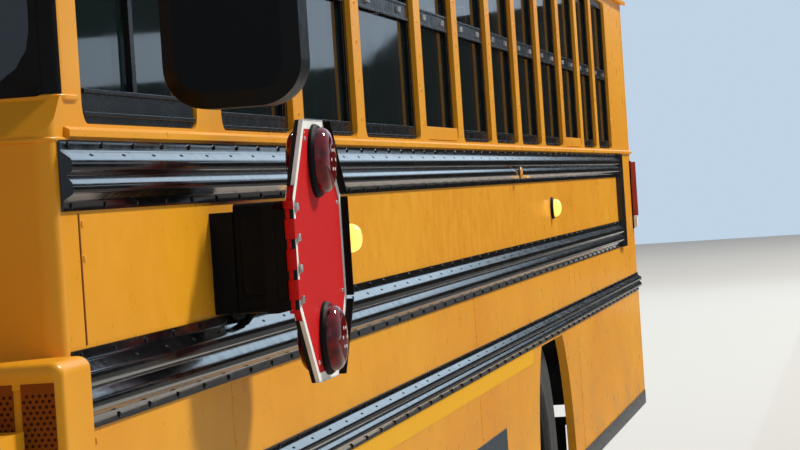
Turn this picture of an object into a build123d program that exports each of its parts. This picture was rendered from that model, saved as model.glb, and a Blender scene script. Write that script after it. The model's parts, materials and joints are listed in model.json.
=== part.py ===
from build123d import *
import math
import os

# School bus with a hood ahead of the cab.
# Millimetres. +X forward, +Y to the driver's side, +Z up, origin on the ground under the middle of the box.

# Overall sizes
LENGTH = 12200          # over the bumpers
BODY_WIDTH = 2440       # over the wall sheets
WHEELBASE = 7090
FRONT_OVERHANG = 1030   # front axle to bumper face
COWL_SETBACK = 840      # front axle to cowl face
BUMPER_DEPTH = 130
FRONT_BUMPER_Z = (480, 705)
REAR_BUMPER_Z = (470, 720)
FLOOR_Z = 1000          # top of the cabin floor
SKIRT_Z = 514           # lower edge of the skirts
SILL_Z = 1680           # window sill
HEAD_Z = 2330           # window head
EAVE_Z = 2430           # wall top, where the roof curve starts
CROWN_Z = 3060          # roof top
EAVE_STRIP = 250        # width of the eave pieces of the roof

# Thicknesses
WALL_T = 40
SKIRT_T = 30
ROOF_T = 25
FLOOR_T = 60
SILL_BEAM = (60, 50)    # cross sills under the floor: width, depth
SHEET_T = 22            # hood moulding
GLASS_T = 6
SEAM = 6                # gap round a door leaf or lid
RUN = 0.3               # running gap at pins and spindles
EDGE_R = 30             # rounded outer edge of the end walls

# Stations along the body and across it, worked out from the sizes above
FRONT_X = LENGTH / 2
REAR_X = -LENGTH / 2
AXLE_F = FRONT_X - FRONT_OVERHANG
AXLE_R = AXLE_F - WHEELBASE
COWL_X = AXLE_F - COWL_SETBACK
BACK_X = REAR_X + BUMPER_DEPTH
BODY_LENGTH = COWL_X - BACK_X
SIDE_Y = BODY_WIDTH / 2
INNER_Y = SIDE_Y - WALL_T
EAVE_R = (CROWN_Z - EAVE_Z) * 5 / 7     # radius of the eave bend

# Wheels
TYRE_R = 525
TYRE_W = 279
BEAD = 0.7              # bead width over tyre width
RIM_R = 290
TRACK_Y = SIDE_Y - 195  # front wheel centre plane
KINGPIN_Y = TRACK_Y - 145
DUAL_Y = (TRACK_Y - 320, TRACK_Y)       # rear inner and outer wheel centre planes
ARCH_R = 586            # rear wheel arch
FENDER_ARCH_R = 640
HUB_R = 92
DRUM_R = 205
HAND_HOLES = {"count": 8, "at": 222, "r": 24}
DISC_T = 14
FRONT_DISC = {"at": 55, "slope": 28}    # wheel disc out from the centre plane, and its dish
REAR_DISH = 75

# Axles and steering
AXLE_TUBE_R = 65
BOWL = {"r": 195, "w": 190, "bevel": 50}
BEAM = {"z": 430, "h": 95, "w": 90, "drop_out": 140, "drop_in": 260}
KINGPIN_R = 20
KNUCKLE_EYE = {"r": 42, "h": 30, "gap": 62, "back": 75}
SPINDLE_R = {"front": 35, "rear": 50}
SPINDLE_END = {"front": TRACK_Y + 45, "rear": TRACK_Y - 45}
SPINDLE_SEAT_Y = DUAL_Y[0] - 130        # end of the rear axle tube
STEER_ARM = {"length": 190, "w": 40, "t": 24}

# Frame rails, and what hangs on them
RAIL_Z = (650, 890)
RAIL_Y = (352, 432)
RAIL_T = 10
CROSSMEMBERS = 10
CROSSMEMBER = {"z0": 730, "z1": 870, "w": 80, "t": 10, "from_cowl": 960, "from_back": 250}
SPRING = {"w": 65, "thick": 52, "eye_r": 24, "eye_drop": 38, "rise": 16, "hanger_w": 70}
SPRING_HALF = {"front": 700, "rear": 760}
ENGINE = {"half_l": 560, "half_w": 310, "z0": 560, "z1": 1380, "bevel": 60}
GEARBOX = {"half_w": 180, "z0": 520, "z1": 860, "bevel": 50}
ENGINE_FOOT = {"x0": 150, "x1": 250, "z0": 760, "z1": 800}
SHAFT_R = 42
SHAFT_Z = 640
TANK = {"half_l": 700, "inset_y": 130, "z0": 500, "z1": 860, "r": 60}
EXHAUST = {"y": 250, "r": 42, "muffler_r": 88, "muffler_from": 2610, "muffler_l": 1000, "hangers": (1, 5, 8)}

# Side windows, counted back from the cowl face
DRIVER_WINDOW = (120, 880)      # front and rear edge of the driver's window, and of the doorway opposite
FIRST_POST = 980                # centre of the post behind it
FIRST_POST_W = 190
POST_W = 110
LAST_POST = 910                 # centre of the last post, ahead of the rear wall's face
BAYS = (830, 755, 960, 715, 755, 695, 710, 740, 720, 675, 755)   # shares of the side, post to post
WINDOW_R = 30
SASH_W = 28
SASH_T = 22
SASH_IN = 12            # sash face behind the wall face
SASH_BAR = {"upright": 26, "across": 30}

# Rub rails: name, lower edge, upper edge
RUB_RAILS = (
    ("skirt", 470, 513),
    ("floor", 1010, 1095),
    ("seat", 1239, 1355),
    ("window", 1553, 1655),
)
RUB_OUT = 20
RUB_GROOVE = 11
RUB_LIP = 4
RUB_FRONT = -30         # left rail ends, ahead of the windshield frame on the cowl's side
RUB_TIE = (9320, 9500)  # upright trim that ends the two upper rails short of the rear corner

# Cowl: stands ahead of the windshield frame, with a sloping top
COWL = {"out": 60, "crease_z": 1664, "top_z": 1718, "z0": 640}

# Hood
HOOD_GAP = 14
HOOD_PIVOT = (FRONT_X - 145, 720)
HOOD_LOW_Z = 745
HOOD_NOSE_X = FRONT_X - 140
HOOD_HINGE = {"places": (-300, 300), "length": 90, "r": 12}
FENDER_Y = SIDE_Y - 20
FENDER_TOP = 1260
FENDER_NOSE_R = 90
BONNET_BASE_Z = 1150
HEADLAMP = {"y": FENDER_Y - 215, "z": 1045, "w": 300, "h": 170, "depth": 70, "r": 40}
GRILLE = {"half_w": 430, "z0": 800, "z1": 1385, "bars": 7, "bar_t": 22, "edge": 30, "depth": 40}

# Bonnet sections: distance ahead of the cowl face, lower and upper half width, top, corner radius
BONNET = (
    (COWL["out"] + HOOD_GAP, SIDE_Y - 375, SIDE_Y - 520, 1690, 150),
    (900, SIDE_Y - 420, SIDE_Y - 570, 1620, 150),
    (HOOD_NOSE_X - COWL_X, SIDE_Y - 580, SIDE_Y - 720, 1440, 150),
)

# Cowl vent box beside each front corner
VENT_BOX = {"length": 210, "inner_y": SIDE_Y - 348, "out": 35, "z0": 640, "z1": 1350, "r": 18}
VENT_PANEL = {"count": 3, "w": 44, "pitch": 62, "edge": 42, "sink": 4}
FENDER_BACK_X = COWL_X + VENT_BOX["length"] + 12

# Openings in the end walls
WINDSHIELD = {"half_w": SIDE_Y - 25, "z0": 1725, "z1": 2470, "r": 90, "post": 60}
REAR_DOOR = {"half_w": 480, "z0": 1000, "z1": 2420}
REAR_WINDOW = {"y0": 640, "y1": SIDE_Y - 130, "z0": 1700, "z1": 2330, "r": 60}
DOOR_GLASS = {"side": 110, "r": 50}
DOORWAY = {"z0": 400, "z1": 2330}
LEAF_T = 35
LEAF_GLASS = {"side": 62, "r": 40, "foot": 160, "head": 80, "bar": 90, "bar_drop": 90}
STEP_IN = INNER_Y - 540         # inner end of the step well
STEP_SHEET = 25

# Roof hatches: centres, half size, curb height over the crown
HATCHES = {"front": COWL_X - 2510, "rear": BACK_X + 2750}
HATCH = {"half": 290, "curb_t": 25, "curb_h": 26, "curb_drop": 45, "lid_h": 40, "lid_over": 22}

# Stop arm: places counted back from the cowl face and out from the wall
STOP = {"flat": 457, "centre_back": 1110, "out": 150, "z": 1457, "plate_t": 12, "lamp_r": 55, "lamp_out": 28,
        "lamp_z": 158, "box_back": 930, "box_len": 180, "box_out": 135, "box_z0": 1345, "box_z1": 1548}

# Seats
ROWS = 12
FIRST_ROW = 1560        # first bench back, counted back from the cowl face
LAST_ROW = 780          # last bench back, ahead of the rear wall's face
BENCH = {"y0": 190, "y1": INNER_Y - 10, "depth": 430, "cushion_t": 90, "top_z": 1440, "back_t": 75,
         "back_top": 2030, "lean": 70, "tube": 35, "leg_y": 440}

# Driver's place, counted back from the cowl face
DRIVER = {"back": 1020, "y": INNER_Y - 660, "half_w": 240, "seat_z": 1420, "cushion_t": 110, "depth": 460,
          "back_top": 2080}
DASH = {"back": 450, "z0": 1180, "z1": 1640, "y0": -480}
STEER_TILT = 28
STEER = {"back": 610, "z": 1700, "r": 228, "rim_r": 13, "hub_r": 48, "column_r": 38}

# Lamps: warning lamps at both ends, and tail lamps as y, z, radius
WARNING = {"y": (560, 800), "z": 2700, "r": 90, "side": 130, "above": 110, "out": 30, "lamp_out": 40}
TAIL_LAMPS = ((SIDE_Y - 210, 1480, 88), (SIDE_Y - 440, 1480, 88), (SIDE_Y - 130, 1250, 50))
TAIL_LAMP_OUT = 30

# Mirrors
MIRROR = {"x": 50, "y0": SIDE_Y + 170, "y1": SIDE_Y + 366, "z0": 1682, "z1": 2180, "depth": 90, "r": 60,
          "arms": (270, 550), "arm_r": 10, "post_r": 13}
CROSSVIEW = {"back": 420, "in_y": 150, "r": 125, "t": 60, "up": 330, "post_r": 11, "post": 420}

# Small hardware
KNUCKLE_R = 8           # hinge knuckles
TOW = {"r": 45, "bore_r": 20, "y0": 600, "y1": 630}


# Helpers

def block(x0, x1, y0, y1, z0, z1):
    """Box between two opposite corners."""
    size = Box(abs(x1 - x0), abs(y1 - y0), abs(z1 - z0))
    return Pos((x0 + x1) / 2, (y0 + y1) / 2, (z0 + z1) / 2) * size


def rounded_block(x0, x1, y0, y1, z0, z1, radius, axis):
    """Box with the four edges along one axis rounded."""
    box = block(x0, x1, y0, y1, z0, z1)
    return fillet(box.edges().filter_by(axis), radius)


def outline_y(points, y0, y1):
    """Outline of (x, z) points, drawn out from y0 to y1."""
    edge = Polyline(*[(x, y0, z) for x, z in points], close=True)
    return extrude(make_face(edge), amount=y1 - y0, dir=(0, 1, 0))


def outline_x(points, x0, x1):
    """Outline of (y, z) points, drawn out from x0 to x1."""
    edge = Polyline(*[(x0, y, z) for y, z in points], close=True)
    return extrude(make_face(edge), amount=x1 - x0, dir=(1, 0, 0))


def rod(start, end, radius):
    """Round bar between two points."""
    a = Vector(*start)
    b = Vector(*end)
    middle = (a + b) * 0.5
    plane = Plane(origin=middle, z_dir=(b - a).normalized())
    return plane * Cylinder(radius, (b - a).length)


def disc_y(x, y0, y1, z, radius):
    """Round bar along Y."""
    return rod((x, y0, z), (x, y1, z), radius)


def flip(shape):
    """The same piece on the other side of the bus."""
    return mirror(shape, about=Plane.XZ)


def knuckles(origin, axis, toward, reach, spans, radius=KNUCKLE_R):
    """Hinge knuckles on spans along an axis, each with a strap that reaches towards its panel."""
    plane = Plane(origin=origin, x_dir=toward, z_dir=axis)
    pieces = []
    for low, high in spans:
        middle = (low + high) / 2
        barrel = Pos(0, 0, middle) * Cylinder(radius, high - low)
        strap = Pos(reach / 2, 0, middle) * Box(reach, 2 * radius, high - low)
        pieces.append(plane * (barrel + strap))
    return pieces


def hinge_spans(places, length):
    """For each place: the moving span in the middle, and the fixed spans at its ends."""
    moving = []
    fixed = []
    for place in places:
        moving.append((place - length / 2, place + length / 2))
        fixed.append((place - length, place - length / 2 - RUN))
        fixed.append((place + length / 2 + RUN, place + length))
    return moving, fixed


def save(name, *shapes):
    """Write one node, made of one solid or of several that don't touch."""
    solids = []
    for shape in shapes:
        solids.extend(shape.solids())
    export_step(Compound(children=solids), "parts/" + name + ".step")


# Roof curve

def roof_arcs(inset):
    """Centres and radii of the eave bend and the crown, for a curve set in from the outside."""
    eave_y = SIDE_Y - EAVE_R
    rise = CROWN_Z - EAVE_Z
    crown_r = (eave_y ** 2 + rise ** 2 - EAVE_R ** 2) / (2 * (rise - EAVE_R))
    crown_centre = CROWN_Z - crown_r
    span = crown_r - EAVE_R
    lean = (eave_y / span, (EAVE_Z - crown_centre) / span)
    return eave_y, crown_centre, crown_r - inset, EAVE_R - inset, lean


def half_eave(inset):
    """Points of the left eave bend: foot, middle and top, as (y, z)."""
    eave_y, _, _, radius, lean = roof_arcs(inset)
    half_angle = math.atan2(lean[1], lean[0]) / 2
    foot = (eave_y + radius, EAVE_Z)
    middle = (eave_y + radius * math.cos(half_angle), EAVE_Z + radius * math.sin(half_angle))
    top = (eave_y + radius * lean[0], EAVE_Z + radius * lean[1])
    return foot, middle, top


def at_x(x, point):
    return (x, point[0], point[1])


def mirrored(point):
    return (-point[0], point[1])


def under_roof(inset, x0, x1, base_z):
    """Solid under the roof curve, from x0 to x1, down to base_z."""
    foot, middle, top = half_eave(inset)
    crown = (0, CROWN_Z - inset)
    left = ThreePointArc(at_x(x0, foot), at_x(x0, middle), at_x(x0, top))
    over = ThreePointArc(at_x(x0, top), at_x(x0, crown), at_x(x0, mirrored(top)))
    right = ThreePointArc(at_x(x0, mirrored(top)), at_x(x0, mirrored(middle)), at_x(x0, mirrored(foot)))
    corners = [at_x(x0, mirrored(foot)), at_x(x0, foot)]
    if base_z < EAVE_Z:
        corners[1:1] = [(x0, -foot[0], base_z), (x0, foot[0], base_z)]
    base = Polyline(*corners)
    return extrude(make_face([left, over, right, base]), amount=x1 - x0, dir=(1, 0, 0))


def roof_shell():
    outer = under_roof(0, BACK_X + WALL_T, COWL_X - WALL_T, EAVE_Z)
    inner = under_roof(ROOF_T, BACK_X, COWL_X, EAVE_Z - 1)
    return outer - inner


def hatch_curb(centre_x, inset=0, top=0):
    """Square tube of the hatch frame, from inside the roof to above its crown."""
    half = HATCH["half"] + HATCH["curb_t"] - inset
    low = CROWN_Z - ROOF_T - HATCH["curb_drop"]
    return block(centre_x - half, centre_x + half, -half, half, low, CROWN_Z + HATCH["curb_h"] + top)


def hatch_hinge(centre_x, moving):
    """Knuckles at the hatch's front edge."""
    edge = centre_x + HATCH["half"] + HATCH["lid_over"] + HATCH["curb_t"]
    spot = (edge + KNUCKLE_R, 0, CROWN_Z + HATCH["curb_h"] + SEAM + KNUCKLE_R)
    moving_spans, fixed_spans = hinge_spans((-160, 160), 70)
    if moving:
        return knuckles(spot, (0, 1, 0), (-1, 0, 0), KNUCKLE_R + 12, moving_spans)
    return knuckles(spot, (0, 1, 0), (0, 0, -1), 60, fixed_spans)


def roof():
    shell = roof_shell()
    split = SIDE_Y - EAVE_STRIP
    middle = block(BACK_X - 5, COWL_X + 5, -split, split, EAVE_Z - 5, CROWN_Z + 5)
    crown = shell & middle
    for centre_x in HATCHES.values():
        crown = crown - hatch_curb(centre_x)
        tube = hatch_curb(centre_x) - hatch_curb(centre_x, HATCH["curb_t"], 5)
        crown = crown + tube
        for knuckle in hatch_hinge(centre_x, False):
            crown = crown + (knuckle - hatch_curb(centre_x, HATCH["curb_t"], 100))
    save("roof_crown", crown)
    save("roof_eaves", shell - middle)


def hatch_lid(name, centre_x):
    half = HATCH["half"] + HATCH["curb_t"] + HATCH["lid_over"]
    low = CROWN_Z + HATCH["curb_h"] + SEAM
    top = block(centre_x - half, centre_x + half, -half, half, low, low + HATCH["lid_h"])
    top = fillet(top.edges().filter_by(Axis.Z), 50)
    top = chamfer(top.faces().sort_by(Axis.Z)[-1].edges(), 14)
    for knuckle in hatch_hinge(centre_x, True):
        top = top + knuckle
    save(name, top)


# Side walls

def post_centres():
    """Window posts, counted back from the cowl face."""
    places = [FIRST_POST]
    scale = (BODY_LENGTH - FIRST_POST - LAST_POST) / sum(BAYS)
    for bay in BAYS:
        places.append(places[-1] + bay * scale)
    return places


def side_windows():
    """Front and rear x of each passenger window."""
    posts = post_centres()
    windows = []
    for index in range(len(BAYS)):
        width = FIRST_POST_W if index == 0 else POST_W
        front = COWL_X - posts[index] - width / 2
        rear = COWL_X - posts[index + 1] + POST_W / 2
        windows.append((front, rear))
    return windows


def driver_window():
    return COWL_X - DRIVER_WINDOW[0], COWL_X - DRIVER_WINDOW[1]


def wall_slab(front_x):
    wall = block(BACK_X + WALL_T, front_x, INNER_Y, SIDE_Y, FLOOR_Z, EAVE_Z)
    for front, rear in side_windows():
        wall = wall - rounded_block(rear, front, INNER_Y - 5, SIDE_Y + 5, SILL_Z, HEAD_Z, WINDOW_R, Axis.Y)
    return wall


def doorway_rear():
    return COWL_X - DRIVER_WINDOW[1]


def left_wall():
    front, rear = driver_window()
    opening = rounded_block(rear, front, INNER_Y - 5, SIDE_Y + 5, SILL_Z, HEAD_Z, WINDOW_R, Axis.Y)
    save("left_wall", wall_slab(COWL_X - WALL_T) - opening)


def right_wall():
    save("right_wall", flip(wall_slab(doorway_rear() - WALL_T)))


def entry_door_frame():
    """Jambs, header and sill round the doorway."""
    front, rear = driver_window()
    outer = block(rear - WALL_T, COWL_X - WALL_T, -SIDE_Y, -INNER_Y, DOORWAY["z0"] - WALL_T, EAVE_Z)
    frame = outer - block(rear, front, -SIDE_Y - 5, -INNER_Y + 5, DOORWAY["z0"], DOORWAY["z1"])
    _, fixed = hinge_spans(leaf_hinge_places(), 60)
    for hinge_x, toward in ((front, 1), (rear, -1)):
        for knuckle in knuckles((hinge_x, leaf_axis_y(), 0), (0, 0, 1), (toward, 0, 0), 45, fixed):
            frame = frame + knuckle
    save("entry_door_frame", frame)


def leaf_axis_y():
    return -SIDE_Y - KNUCKLE_R


def leaf_hinge_places():
    return (DOORWAY["z0"] + 250, (DOORWAY["z0"] + DOORWAY["z1"]) / 2, DOORWAY["z1"] - 250)


def leaf_span(which):
    """Rear and front x of a door leaf."""
    front, rear = driver_window()
    middle = (front + rear) / 2
    if which == "front":
        return middle + SEAM, front - SEAM
    return rear + SEAM, middle - SEAM


def leaf_glass_boxes(which, y0, y1):
    """Lower and upper glass of a leaf."""
    x0, x1 = leaf_span(which)
    low = DOORWAY["z0"] + SEAM
    high = DOORWAY["z1"] - SEAM
    side = LEAF_GLASS["side"]
    bar = (low + high) / 2 - LEAF_GLASS["bar_drop"]
    half_bar = LEAF_GLASS["bar"] / 2
    spans = ((low + LEAF_GLASS["foot"], bar - half_bar), (bar + half_bar, high - LEAF_GLASS["head"]))
    return [rounded_block(x0 + side, x1 - side, y0, y1, z0, z1, LEAF_GLASS["r"], Axis.Y) for z0, z1 in spans]


def entry_leaf(which):
    x0, x1 = leaf_span(which)
    leaf = block(x0, x1, -SIDE_Y, -SIDE_Y + LEAF_T, DOORWAY["z0"] + SEAM, DOORWAY["z1"] - SEAM)
    for box in leaf_glass_boxes(which, -SIDE_Y - 5, -SIDE_Y + LEAF_T + 5):
        leaf = leaf - box
    moving, _ = hinge_spans(leaf_hinge_places(), 60)
    front, rear = driver_window()
    hinge_x, toward = (front, -1) if which == "front" else (rear, 1)
    for knuckle in knuckles((hinge_x, leaf_axis_y(), 0), (0, 0, 1), (toward, 0, 0), 45, moving):
        leaf = leaf + knuckle
    save("entry_door_" + which, leaf)
    middle = -SIDE_Y + LEAF_T / 2
    save("entry_glass_" + which, *leaf_glass_boxes(which, middle - GLASS_T / 2, middle + GLASS_T / 2))


def arch_cut(y0, y1, radius=ARCH_R, x=AXLE_R):
    return disc_y(x, y0, y1, TYRE_R, radius)


def skirts():
    """Skirt sheets below the floor rail, open at the rear wheels and at the entry door."""
    outer = SIDE_Y
    inner = SIDE_Y - SKIRT_T
    left = block(BACK_X, COWL_X - WALL_T, inner, outer, SKIRT_Z, FLOOR_Z) - arch_cut(inner - 5, outer + 5)
    front_x = doorway_rear() - WALL_T
    right = block(BACK_X, front_x, -outer, -inner, SKIRT_Z, FLOOR_Z) - arch_cut(-outer - 5, -inner + 5)
    save("skirts", left, right)


def rub_profile(z0, z1):
    """Pressed rail: two flanges and two crowns with a groove between, as (y, z) out from the wall."""
    height = z1 - z0
    shape = ((0, 0), (RUB_LIP, 0), (RUB_LIP, 0.16), (RUB_OUT, 0.24), (RUB_OUT, 0.38), (RUB_GROOVE, 0.5),
             (RUB_OUT, 0.56), (RUB_OUT, 0.7), (RUB_LIP, 0.82), (RUB_LIP, 1), (0, 1))
    return [(SIDE_Y + out, z0 + share * height) for out, share in shape]


def rub_tie():
    """Upright trim that ends the two upper rails near the rear corner."""
    _, low, _ = RUB_RAILS[2]
    _, _, high = RUB_RAILS[3]
    return block(COWL_X - RUB_TIE[1], COWL_X - RUB_TIE[0], SIDE_Y, SIDE_Y + RUB_OUT, low, high)


def rub_rails():
    pieces = []
    for name, z0, z1 in RUB_RAILS:
        profile = rub_profile(z0, z1)
        left_front = COWL_X - RUB_FRONT
        right_front = doorway_rear() - WALL_T - 20
        back = BACK_X + EDGE_R
        if name in ("seat", "window"):
            back = COWL_X - RUB_TIE[0]
        spans = [(back, left_front, right_front)]
        if name == "skirt":
            lap = SKIRT_Z + 20
            profile = [(SIDE_Y, z0), (SIDE_Y + RUB_LIP, z0), (SIDE_Y + RUB_LIP, lap), (SIDE_Y, lap)]
            gap = ARCH_R + 4
            spans = [(back, AXLE_R - gap, AXLE_R - gap), (AXLE_R + gap, left_front, right_front)]
        for rear, front_left, front_right in spans:
            pieces.append(outline_x(profile, rear, front_left))
            pieces.append(flip(outline_x(profile, rear, front_right)))
    tie = rub_tie()
    save("rub_rails", *pieces, tie, flip(tie))


def sash_and_glass(front, rear, upright=False):
    """Black frame with a bar across or upright, and the pane behind it."""
    z0 = SILL_Z
    face = SIDE_Y - SASH_IN
    back = face - SASH_T
    frame = rounded_block(rear, front, back, face, z0, HEAD_Z, WINDOW_R, Axis.Y)
    frame = frame - block(rear + SASH_W, front - SASH_W, back - 5, face + 5, z0 + SASH_W, HEAD_Z - SASH_W)
    glass_y = back + 6
    if upright:
        middle = (front + rear) / 2
        half = SASH_BAR["upright"] / 2
        bar = block(middle - half, middle + half, glass_y + GLASS_T, face, z0 + SASH_W, HEAD_Z - SASH_W)
    else:
        bar_z = (z0 + HEAD_Z) / 2
        half = SASH_BAR["across"] / 2
        bar = block(rear + SASH_W, front - SASH_W, glass_y + GLASS_T, face, bar_z - half, bar_z + half)
    pane = block(rear + SASH_W, front - SASH_W, glass_y, glass_y + GLASS_T, z0 + SASH_W, HEAD_Z - SASH_W)
    return frame + bar, pane


def side_glazing():
    sashes = []
    panes = []
    for front, rear in side_windows():
        sash, pane = sash_and_glass(front, rear)
        sashes.extend([sash, flip(sash)])
        panes.extend([pane, flip(pane)])
    front, rear = driver_window()
    sash, pane = sash_and_glass(front, rear, upright=True)
    sashes.append(sash)
    panes.append(pane)
    return sashes, panes


# End walls

def front_wall():
    """Windshield frame and header under the roof curve, and the cowl below, in one wall."""
    wall = under_roof(0, COWL_X - WALL_T, COWL_X, COWL["z0"])
    wall = fillet(outer_uprights(wall), EDGE_R)
    shield = WINDSHIELD
    half = shield["half_w"]
    opening = rounded_block(COWL_X - WALL_T - 5, COWL_X + 5, -half, half, shield["z0"], shield["z1"],
                            shield["r"], Axis.X)
    post = block(COWL_X - WALL_T, COWL_X, -shield["post"] / 2, shield["post"] / 2, shield["z0"], shield["z1"])
    saddle = RAIL_Y[1] + 5
    under = block(COWL_X - WALL_T - 5, COWL_X + COWL["out"] + 5, -saddle, saddle,
                  COWL["z0"] - 5, RAIL_Z[1] + RUN)
    save("front_wall", (wall - opening) + post + cowl() - under)


def cowl():
    """Lower front of the body, with rounded corners and a sloping top."""
    face = COWL_X + COWL["out"]
    low, crease, top = COWL["z0"], COWL["crease_z"], COWL["top_z"]
    back = COWL_X - WALL_T
    profile = ((back, low), (face, low), (face, crease), (COWL_X, top), (back, top))
    return fillet(outer_uprights(outline_y(profile, -SIDE_Y, SIDE_Y)), EDGE_R)


def outer_uprights(solid, out=1):
    """The two upright edges of a wall's outer face, front or rear."""
    uprights = solid.edges().filter_by(Axis.Z)
    face = max(out * edge.center().X for edge in uprights)
    return [edge for edge in uprights if out * edge.center().X > face - 1]


def vent_boxes():
    box = VENT_BOX
    outer_y = SIDE_Y + box["out"]
    front = COWL_X + box["length"]
    solid = block(COWL_X + COWL["out"], front, box["inner_y"], outer_y, box["z0"], box["z1"])
    edges = solid.faces().sort_by(Axis.X)[-1].edges() + solid.edges().filter_by(Axis.X)
    solid = fillet(edges, box["r"])
    panel = VENT_PANEL
    for index in range(panel["count"]):
        y1 = outer_y - panel["edge"] - index * panel["pitch"]
        solid = solid - block(front - panel["sink"], front + 5, y1 - panel["w"], y1,
                              box["z0"] + 60, box["z1"] - 35)
    save("cowl_vent_boxes", solid, flip(solid))


def rear_wall():
    wall = under_roof(0, BACK_X, BACK_X + WALL_T, FLOOR_Z)
    wall = fillet(outer_uprights(wall, -1), EDGE_R)
    apron_y = SIDE_Y - SKIRT_T
    apron = block(BACK_X, BACK_X + WALL_T, -apron_y, apron_y, REAR_BUMPER_Z[1], FLOOR_Z)
    wall = wall + apron
    door = REAR_DOOR
    half = door["half_w"]
    wall = wall - block(BACK_X - 5, BACK_X + WALL_T + 5, -half, half, door["z0"], door["z1"])
    for side in (1, -1):
        wall = wall - rear_window_box(side, BACK_X - 5, BACK_X + WALL_T + 5)
    _, fixed = hinge_spans(rear_hinge_places(), 80)
    for knuckle in knuckles(rear_hinge_at(), (0, 0, 1), (0, -1, 0), 60, fixed):
        wall = wall + knuckle
    save("rear_wall", wall)


def rear_window_box(side, x0, x1):
    window = REAR_WINDOW
    return rounded_block(x0, x1, side * window["y0"], side * window["y1"], window["z0"], window["z1"],
                         window["r"], Axis.X)


def rear_hinge_at():
    return (BACK_X - KNUCKLE_R, -REAR_DOOR["half_w"], 0)


def rear_hinge_places():
    return (REAR_DOOR["z0"] + 220, (REAR_DOOR["z0"] + REAR_DOOR["z1"]) / 2 + 40, REAR_DOOR["z1"] - 220)


def rear_door_glass_boxes(x0, x1):
    door = REAR_DOOR
    half = door["half_w"] - DOOR_GLASS["side"]
    spans = ((door["z0"] + 160, SILL_Z - 110), (SILL_Z, door["z1"] - 90))
    return [rounded_block(x0, x1, -half, half, z0, z1, DOOR_GLASS["r"], Axis.X) for z0, z1 in spans]


def rear_door():
    door = REAR_DOOR
    half = door["half_w"] - SEAM
    leaf = block(BACK_X, BACK_X + WALL_T, -half, half, door["z0"] + SEAM, door["z1"] - SEAM)
    for box in rear_door_glass_boxes(BACK_X - 5, BACK_X + WALL_T + 5):
        leaf = leaf - box
    moving, _ = hinge_spans(rear_hinge_places(), 80)
    for knuckle in knuckles(rear_hinge_at(), (0, 0, 1), (0, 1, 0), 60, moving):
        leaf = leaf + knuckle
    save("rear_door", leaf)
    middle = BACK_X + WALL_T / 2
    save("rear_door_glass", *rear_door_glass_boxes(middle - GLASS_T / 2, middle + GLASS_T / 2))


def end_glass():
    """Windshield halves and the two fixed rear windows."""
    shield = WINDSHIELD
    x1 = COWL_X - 14
    pane = rounded_block(x1 - GLASS_T, x1, -shield["half_w"], shield["half_w"], shield["z0"], shield["z1"],
                         shield["r"], Axis.X)
    post = shield["post"] / 2
    halves = pane - block(x1 - 50, x1 + 50, -post, post, shield["z0"], shield["z1"])
    x2 = BACK_X + 20
    return [halves, rear_window_box(1, x2, x2 + GLASS_T), rear_window_box(-1, x2, x2 + GLASS_T)]


# Floor

def housing_span():
    half = TYRE_R + 60
    return AXLE_R - half, AXLE_R + half, DUAL_Y[0] - TYRE_W / 2 - 30, INNER_Y


def cabin_floor():
    top = FLOOR_Z
    low = top - FLOOR_T
    slab = block(BACK_X + WALL_T, COWL_X - WALL_T, -INNER_Y, INNER_Y, low, top)
    x0, x1, y0, y1 = housing_span()
    raised = top + 120
    wall = 16
    front, rear = driver_window()
    slab = slab - block(rear, front, -INNER_Y - 5, -STEP_IN, low - 5, top + 5)
    for side in (1, -1):
        slab = slab - block(x0, x1, side * y0, side * (y1 + 5), low - 5, top + 5)
        outer = block(x0 - wall, x1 + wall, side * (y0 - wall), side * y1, low, raised)
        inner = block(x0, x1, side * y0, side * y1, low - 5, raised - wall)
        slab = slab + (outer - inner)
    half, deep = SILL_BEAM[0] / 2, SILL_BEAM[1]
    for index in range(10):
        x = BACK_X + 200 + index * 1010
        if x0 - 80 < x < x1 + 80 or x > rear - 100:
            continue
        slab = slab + block(x - half, x + half, -INNER_Y, INNER_Y, low - deep, low)
    save("cabin_floor", slab)


def entry_steps():
    """Three treads and their risers, folded from one profile, between two side plates."""
    front, rear = driver_window()
    rise = (FLOOR_Z - DOORWAY["z0"]) / 3
    sheet = STEP_SHEET
    tread = (INNER_Y - STEP_IN) / 2 - sheet
    stair = outline_x(stair_points(rise, tread, sheet), rear + 20, front - 20)
    for x0, x1 in ((rear, rear + 20), (front - 20, front)):
        stair = stair + block(x0, x1, -INNER_Y, -STEP_IN + sheet, DOORWAY["z0"] - sheet, FLOOR_Z - FLOOR_T)
    save("entry_steps", stair)


def stair_points(rise, tread, sheet):
    """Closed (y, z) profile of the folded sheet: the walking side, then the underside."""
    low = DOORWAY["z0"]
    first = -INNER_Y + tread
    second = first + tread
    walking = [(-INNER_Y, low), (first, low), (first, low + rise), (second, low + rise),
               (second, low + 2 * rise), (-STEP_IN, low + 2 * rise), (-STEP_IN, FLOOR_Z - FLOOR_T)]
    under = [(-STEP_IN + sheet, FLOOR_Z - FLOOR_T), (-STEP_IN + sheet, low + 2 * rise - sheet),
             (second + sheet, low + 2 * rise - sheet), (second + sheet, low + rise - sheet),
             (first + sheet, low + rise - sheet), (first + sheet, low - sheet), (-INNER_Y, low - sheet)]
    return walking + under


# Chassis

def rail_front():
    return HOOD_PIVOT[0] - 45


def frame_rails():
    y0, y1 = RAIL_Y
    z0, z1 = RAIL_Z
    front = rail_front()
    rail = block(BACK_X, front, y0, y1, z0, z1)
    rail = rail - block(BACK_X - 5, front + 5, y0 - 5, y1 - RAIL_T, z0 + RAIL_T, z1 - RAIL_T)
    rail = rail - block(BACK_X - 5, BACK_X + WALL_T + RUN, y0 - 5, y1 + 5, REAR_BUMPER_Z[1] - RUN, z1 + 5)
    save("frame_rails", rail, flip(rail))


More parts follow.
